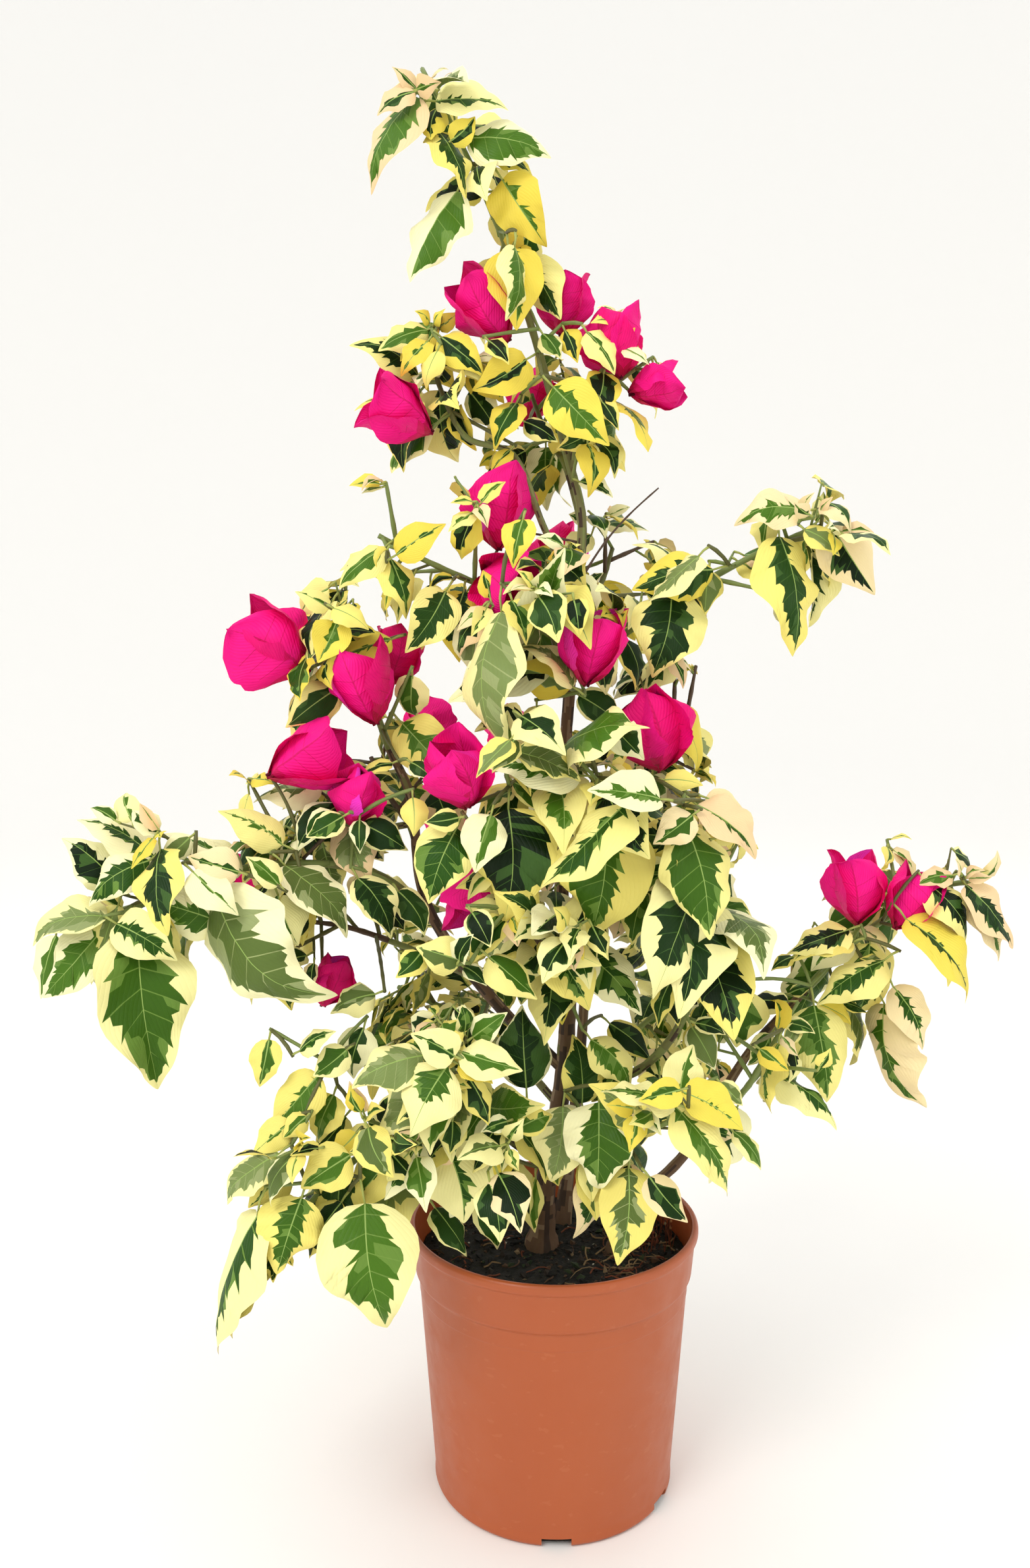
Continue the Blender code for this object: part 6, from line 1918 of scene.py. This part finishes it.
def makeLimbs():
    materials = grainMaterials(barkTones, 0.75, 420, 0.8, (1, 1, 0.25))
    sheet = Sheet(barkTones)
    for name, limb in limbs.items():
        addLimb(sheet, name, limb)
    sheet.finish("stems_and_boughs", materials, list(limbs))


makeLimbs()


# pot

potLook = {"height": 142.0, "baseRadius": 64.5, "rimRadius": 78.0, "wall": 1.5, "floor": 2.0,
           "collarHeight": 26.0, "collarStep": 1.9, "lipHeight": 6.0, "lipWidth": 3.2, "round": 1.1,
           "segments": 144, "drains": 6, "drainWidth": 15.0, "drainHeight": 4.8, "drainDepth": 12.0,
           "drainPast": 4.0, "drainUnder": 2.0, "sharpFrom": 38,
           "colours": ((171, 82, 38), (178, 89, 44)), "scuff": (194, 116, 76), "scuffMost": 0.16}


def potWall(height):
    taper = (potLook["rimRadius"] - potLook["collarStep"] - potLook["lipWidth"] + potLook["wall"]
             - potLook["baseRadius"])
    return potLook["baseRadius"] + taper * height / potLook["height"]


# every corner of a profile cut back and rounded by a short curve
def roundCorners(points, size, steps=4):
    rounded = [points[0]]
    for before, corner, after in zip(points, points[1:], points[2:]):
        a = Vector(before)
        b = Vector(corner)
        c = Vector(after)
        cut = min(size, (a - b).length * 0.45, (c - b).length * 0.45)
        p = b + (a - b).normalized() * cut
        q = b + (c - b).normalized() * cut
        for i in range(steps + 1):
            t = i / steps
            rounded.append(tuple(p * (1 - t) ** 2 + b * 2 * t * (1 - t) + q * t ** 2))
    rounded.append(points[-1])
    return rounded


# from the middle of the underside up the outside, over the lip and down to the middle of the floor
def potProfile():
    top = potLook["height"]
    rim = potLook["rimRadius"]
    wall = potLook["wall"]
    floor = potLook["floor"]
    collar = top - potLook["collarHeight"]
    collarRadius = potWall(collar) + potLook["collarStep"]
    lip = top - potLook["lipHeight"]
    underLip = rim - potLook["lipWidth"] * 0.5
    foot = potLook["baseRadius"]
    outside = [(axisRadius, 0), (foot - 1.8, 0), (foot, 1.8), (potWall(5) - 0.6, 7.0),
               (potWall(collar - 9), collar - 10.2), (potWall(collar - 9) + 0.25, collar - 9.6),
               (potWall(collar), collar - 1.2), (collarRadius, collar + 0.6),
               (underLip, lip), (rim, lip + 1.4), (rim, top - 1.4), (rim - 1.0, top)]
    inside = [(rim - potLook["lipWidth"], top), (collarRadius - wall, collar + 2.0),
              (potWall(collar) - wall, collar - 1.0), (potWall(floor) - wall - 0.4, floor),
              (axisRadius, floor)]
    return roundCorners(outside + inside, potLook["round"])


# slots through the corner where the wall meets the floor, one facing the front
def cutDrains(pot):
    shape = bmesh.new()
    inner = potLook["baseRadius"] - potLook["drainDepth"]
    outer = potLook["baseRadius"] + potLook["drainPast"]
    under = potLook["drainUnder"]
    for k in range(potLook["drains"]):
        angle = 2 * math.pi * k / potLook["drains"] - math.pi / 2
        for vert in bmesh.ops.create_cube(shape, size=1.0)["verts"]:
            along = inner + (outer - inner) * (vert.co.x + 0.5)
            aside = vert.co.y * potLook["drainWidth"]
            height = -under + (potLook["drainHeight"] + under) * (vert.co.z + 0.5)
            vert.co = Vector((along * math.cos(angle) - aside * math.sin(angle),
                              along * math.sin(angle) + aside * math.cos(angle), height)) * mm
    bmesh.ops.recalc_face_normals(shape, faces=shape.faces)
    cutter = addObject("drain_cutter", shape)
    step = pot.modifiers.new("drains", "BOOLEAN")
    step.operation = "DIFFERENCE"
    step.object = cutter
    step.solver = "EXACT"
    graph = bpy.context.evaluated_depsgraph_get()
    result = bpy.data.meshes.new_from_object(pot.evaluated_get(graph))
    pot.modifiers.clear()
    pot.data = result
    bpy.data.objects.remove(cutter)


# moulded plastic: even terracotta with faint scuffs
def potMaterial():
    material, tree, shader = newMaterial("terracotta_plastic")
    first, second = potLook["colours"]
    base = mixColours(tree, spread(tree, addNoise(tree, 14, 4.0, (1, 1, 0.35)), 0.0, 0.7),
                      linear(*first), linear(*second))
    clamp = tree.nodes.new("ShaderNodeClamp")
    clamp.inputs["Max"].default_value = potLook["scuffMost"]
    scratches = spread(tree, addNoise(tree, 240, 8.0, (0.5, 0.5, 1.0)), -3.0, 0.45)
    tree.links.new(scratches, clamp.inputs["Value"])
    scuffed = mixColours(tree, clamp.outputs["Result"], base, linear(*potLook["scuff"]))
    tree.links.new(scuffed, shader.inputs["Base Color"])
    tree.links.new(spread(tree, addNoise(tree, 90, 4.0), 0.36, 0.52), shader.inputs["Roughness"])
    shader.inputs["Specular IOR Level"].default_value = 0.5
    addBump(tree, shader, addNoise(tree, 1400, 2.0), 0.12, 0.0003)
    return material


def makePot():
    shape = spun(potProfile(), potLook["segments"])
    bmesh.ops.recalc_face_normals(shape, faces=shape.faces)
    pot = addObject("grower_pot", shape)
    cutDrains(pot)
    pot.data.materials.clear()
    pot.data.materials.append(potMaterial())
    pot.data.shade_smooth()
    pot.data.set_sharp_from_angle(angle=math.radians(potLook["sharpFrom"]))
    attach(pot, "root")
    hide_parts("pot")
    print("pot made")


makePot()


# soil: an uneven surface with crumbs, bark bits and dry fibres on it

soilLook = {"rings": 44, "segments": 150, "lump": 2.6, "crumb": 1.0, "edge": 122.0, "flat": 54.0,
            "fall": (3.0, 19.0), "gap": 0.6, "sideGap": 0.9, "bits": 900, "small": (0.6, 2.0),
            "large": (2.0, 3.6), "fibres": 130, "fibreLength": (5, 16), "fibreThick": (0.25, 0.6),
            "weeds": 110, "weedPatch": (52.0, 22.0, 17.0, 34.0), "weedHeight": (4.0, 13.0),
            "weedLean": 0.3, "weedRadii": (0.35, 0.3, 0.2), "headRadii": (0.3, 0.8, 0.3),
            "colours": ((9, 10, 7), (30, 27, 19))}
soilTones = {"crumb_black": (18, 16, 12), "crumb_brown": (42, 34, 26), "bark_chip": (78, 56, 38),
             "chip_tan": (128, 108, 80), "fibre_red": (112, 60, 36), "fibre_pale": (138, 114, 80),
             "speck": (196, 192, 176), "moss": (40, 54, 26), "weed_brown": (84, 44, 28),
             "weed_head": (176, 120, 74)}


def soilHeight(x, y):
    drop, over = soilLook["fall"]
    fall = max(0.0, math.hypot(x, y) - soilLook["flat"]) / over
    place = Vector((x, y, 0))
    lump = soilLook["lump"] * noise.noise(place * 0.06)
    crumb = soilLook["crumb"] * noise.noise(place * 0.42) + 0.6 * noise.noise(place * 0.95)
    return rule["soilLevel"] - drop * min(1.0, fall) + lump * 0.7 + crumb - 0.6


def soilRadius():
    return potWall(soilLook["edge"]) + potLook["collarStep"] - potLook["wall"] - soilLook["gap"]


def soilMaterial():
    material, tree, shader = newMaterial("potting_soil")
    dark, pale = soilLook["colours"]
    mixed = mixColours(tree, spread(tree, addNoise(tree, 300, 8.0), 0.0, 0.8),
                       linear(*dark), linear(*pale))
    tree.links.new(mixed, shader.inputs["Base Color"])
    shader.inputs["Roughness"].default_value = 0.95
    addBump(tree, shader, addNoise(tree, 900, 6.0), 0.8, 0.001)
    return material


# spun flat, then raised to its heights, with a ring below the pot's collar and one at its floor
def makeSoil():
    rings = soilLook["rings"]
    sides = (potLook["height"] - potLook["collarHeight"] - 2.0, potLook["floor"] + 0.3)
    profile = [(axisRadius, potLook["height"])]
    profile += [(soilRadius() * i / rings, potLook["height"]) for i in range(1, rings + 1)]
    profile += [(potWall(height) - potLook["wall"] - soilLook["sideGap"], height) for height in sides]
    shape = spun(profile, soilLook["segments"])
    for vert in shape.verts:
        if vert.co.z > sides[0] * mm + mm:
            vert.co.z = soilHeight(vert.co.x / mm, vert.co.y / mm) * mm
    bmesh.ops.edgeloop_fill(shape, edges=[edge for edge in shape.edges if edge.is_boundary])
    bmesh.ops.recalc_face_normals(shape, faces=shape.faces)
    soil = addObject("soil_surface", shape)
    soil.data.materials.append(soilMaterial())
    soil.data.shade_smooth()
    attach(soil, "root")
    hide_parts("soil")


# dried brown weeds stand in a patch at the right
def addWeeds(sheet, rng):
    midX, midY, spanX, spanY = soilLook["weedPatch"]
    for i in range(soilLook["weeds"]):
        angle = anyTurn(rng)
        reach = math.sqrt(rng.random())
        x = midX + spanX * reach * math.cos(angle)
        y = midY + spanY * reach * math.sin(angle)
        if math.hypot(x, y) > soilRadius() - 4:
            continue
        foot = Vector((x, y, soilHeight(x, y) - 0.5))
        tall = rng.uniform(*soilLook["weedHeight"])
        lean = Vector((rng.uniform(-1, 1), rng.uniform(-1, 1), 0)) * tall * soilLook["weedLean"]
        sheet.addTube([foot, foot + up * tall * 0.6 + lean * 0.4, foot + up * tall + lean],
                      soilLook["weedRadii"], 4, rng.choice(("fibre_red", "weed_brown")))
        if rng.random() < 0.5:
            head = foot + up * (tall - 0.5) + lean
            sheet.addTube([head, head + up * 0.8, head + up * 1.8], soilLook["headRadii"], 5,
                          rng.choice(("weed_head", "fibre_red", "chip_tan")))


# crumbs and chips, lying at random
def addCrumbs(sheet, limit, rng):
    for i in range(soilLook["bits"]):
        radius = limit * math.sqrt(rng.random())
        angle = anyTurn(rng)
        x = radius * math.cos(angle)
        y = radius * math.sin(angle)
        size = rng.uniform(*soilLook["small" if rng.random() < 0.85 else "large"])
        kind = rng.choice(("crumb_black", "crumb_black", "crumb_brown", "crumb_black", "moss",
                           "bark_chip", "chip_tan"))
        if kind == "chip_tan" and rng.random() < 0.6:
            kind = rng.choice(("bark_chip", "speck", "crumb_brown"))
        if kind == "speck":
            size = min(size, 1.0)
        middle = Vector((x, y, soilHeight(x, y) + size * 0.15))
        longways = Vector((rng.uniform(-1, 1), rng.uniform(-1, 1), rng.uniform(-0.3, 0.3))).normalized()
        sideways = across(longways, Vector((rng.uniform(-1, 1), rng.uniform(-1, 1), 0.3)))
        upward = longways.cross(sideways)
        points = [middle + longways * size * rng.uniform(0.8, 1.5), middle - longways * size,
                  middle + sideways * size * rng.uniform(0.5, 0.9), middle - sideways * size * 0.7,
                  middle + upward * size * rng.uniform(0.4, 0.7), middle - upward * size * 0.5]
        sheet.addSolid((points, diamondFaces), kind)


# bowed fibres, more of them at the right by the stem
def addFibres(sheet, limit, rng):
    for i in range(soilLook["fibres"]):
        near = rng.random() < 0.6
        angle = rng.uniform(-0.9, 0.6) if near else anyTurn(rng)
        radius = rng.uniform(26, 64) if near else limit * math.sqrt(rng.random()) * 0.94
        place = Vector((radius * math.cos(angle), radius * math.sin(angle), 0))
        length = rng.uniform(*soilLook["fibreLength"])
        turn = anyTurn(rng)
        heading = Vector((math.cos(turn), math.sin(turn), 0))
        bend = across(heading, up.cross(heading)) * rng.uniform(-0.3, 0.3) * length
        points = []
        for k in range(5):
            t = k / 4
            p = place + heading * length * (t - 0.5) + bend * math.sin(math.pi * t)
            p = p if p.length < limit else p * (limit / p.length)
            p.z = soilHeight(p.x, p.y) + 0.5 + 1.6 * math.sin(math.pi * t) * rng.random()
            points.append(p)
        thick = rng.uniform(*soilLook["fibreThick"])
        sheet.addTube(points, [thick] * 4 + [thick * 0.5], 4,
                      rng.choice(("fibre_red", "fibre_red", "fibre_pale", "bark_chip")))


def makeSoilBits():
    materials = grainMaterials(soilTones, 0.9, 600, 0.6)
    sheet = Sheet(soilTones)
    rng = random.Random("soil bits")
    limit = soilRadius() - 3
    addCrumbs(sheet, limit, rng)
    addFibres(sheet, limit, rng)
    addWeeds(sheet, rng)
    piece = sheet.finish("soil_bits", materials, [])
    piece.data.shade_flat()


makeSoil()
makeSoilBits()
print("soil made")
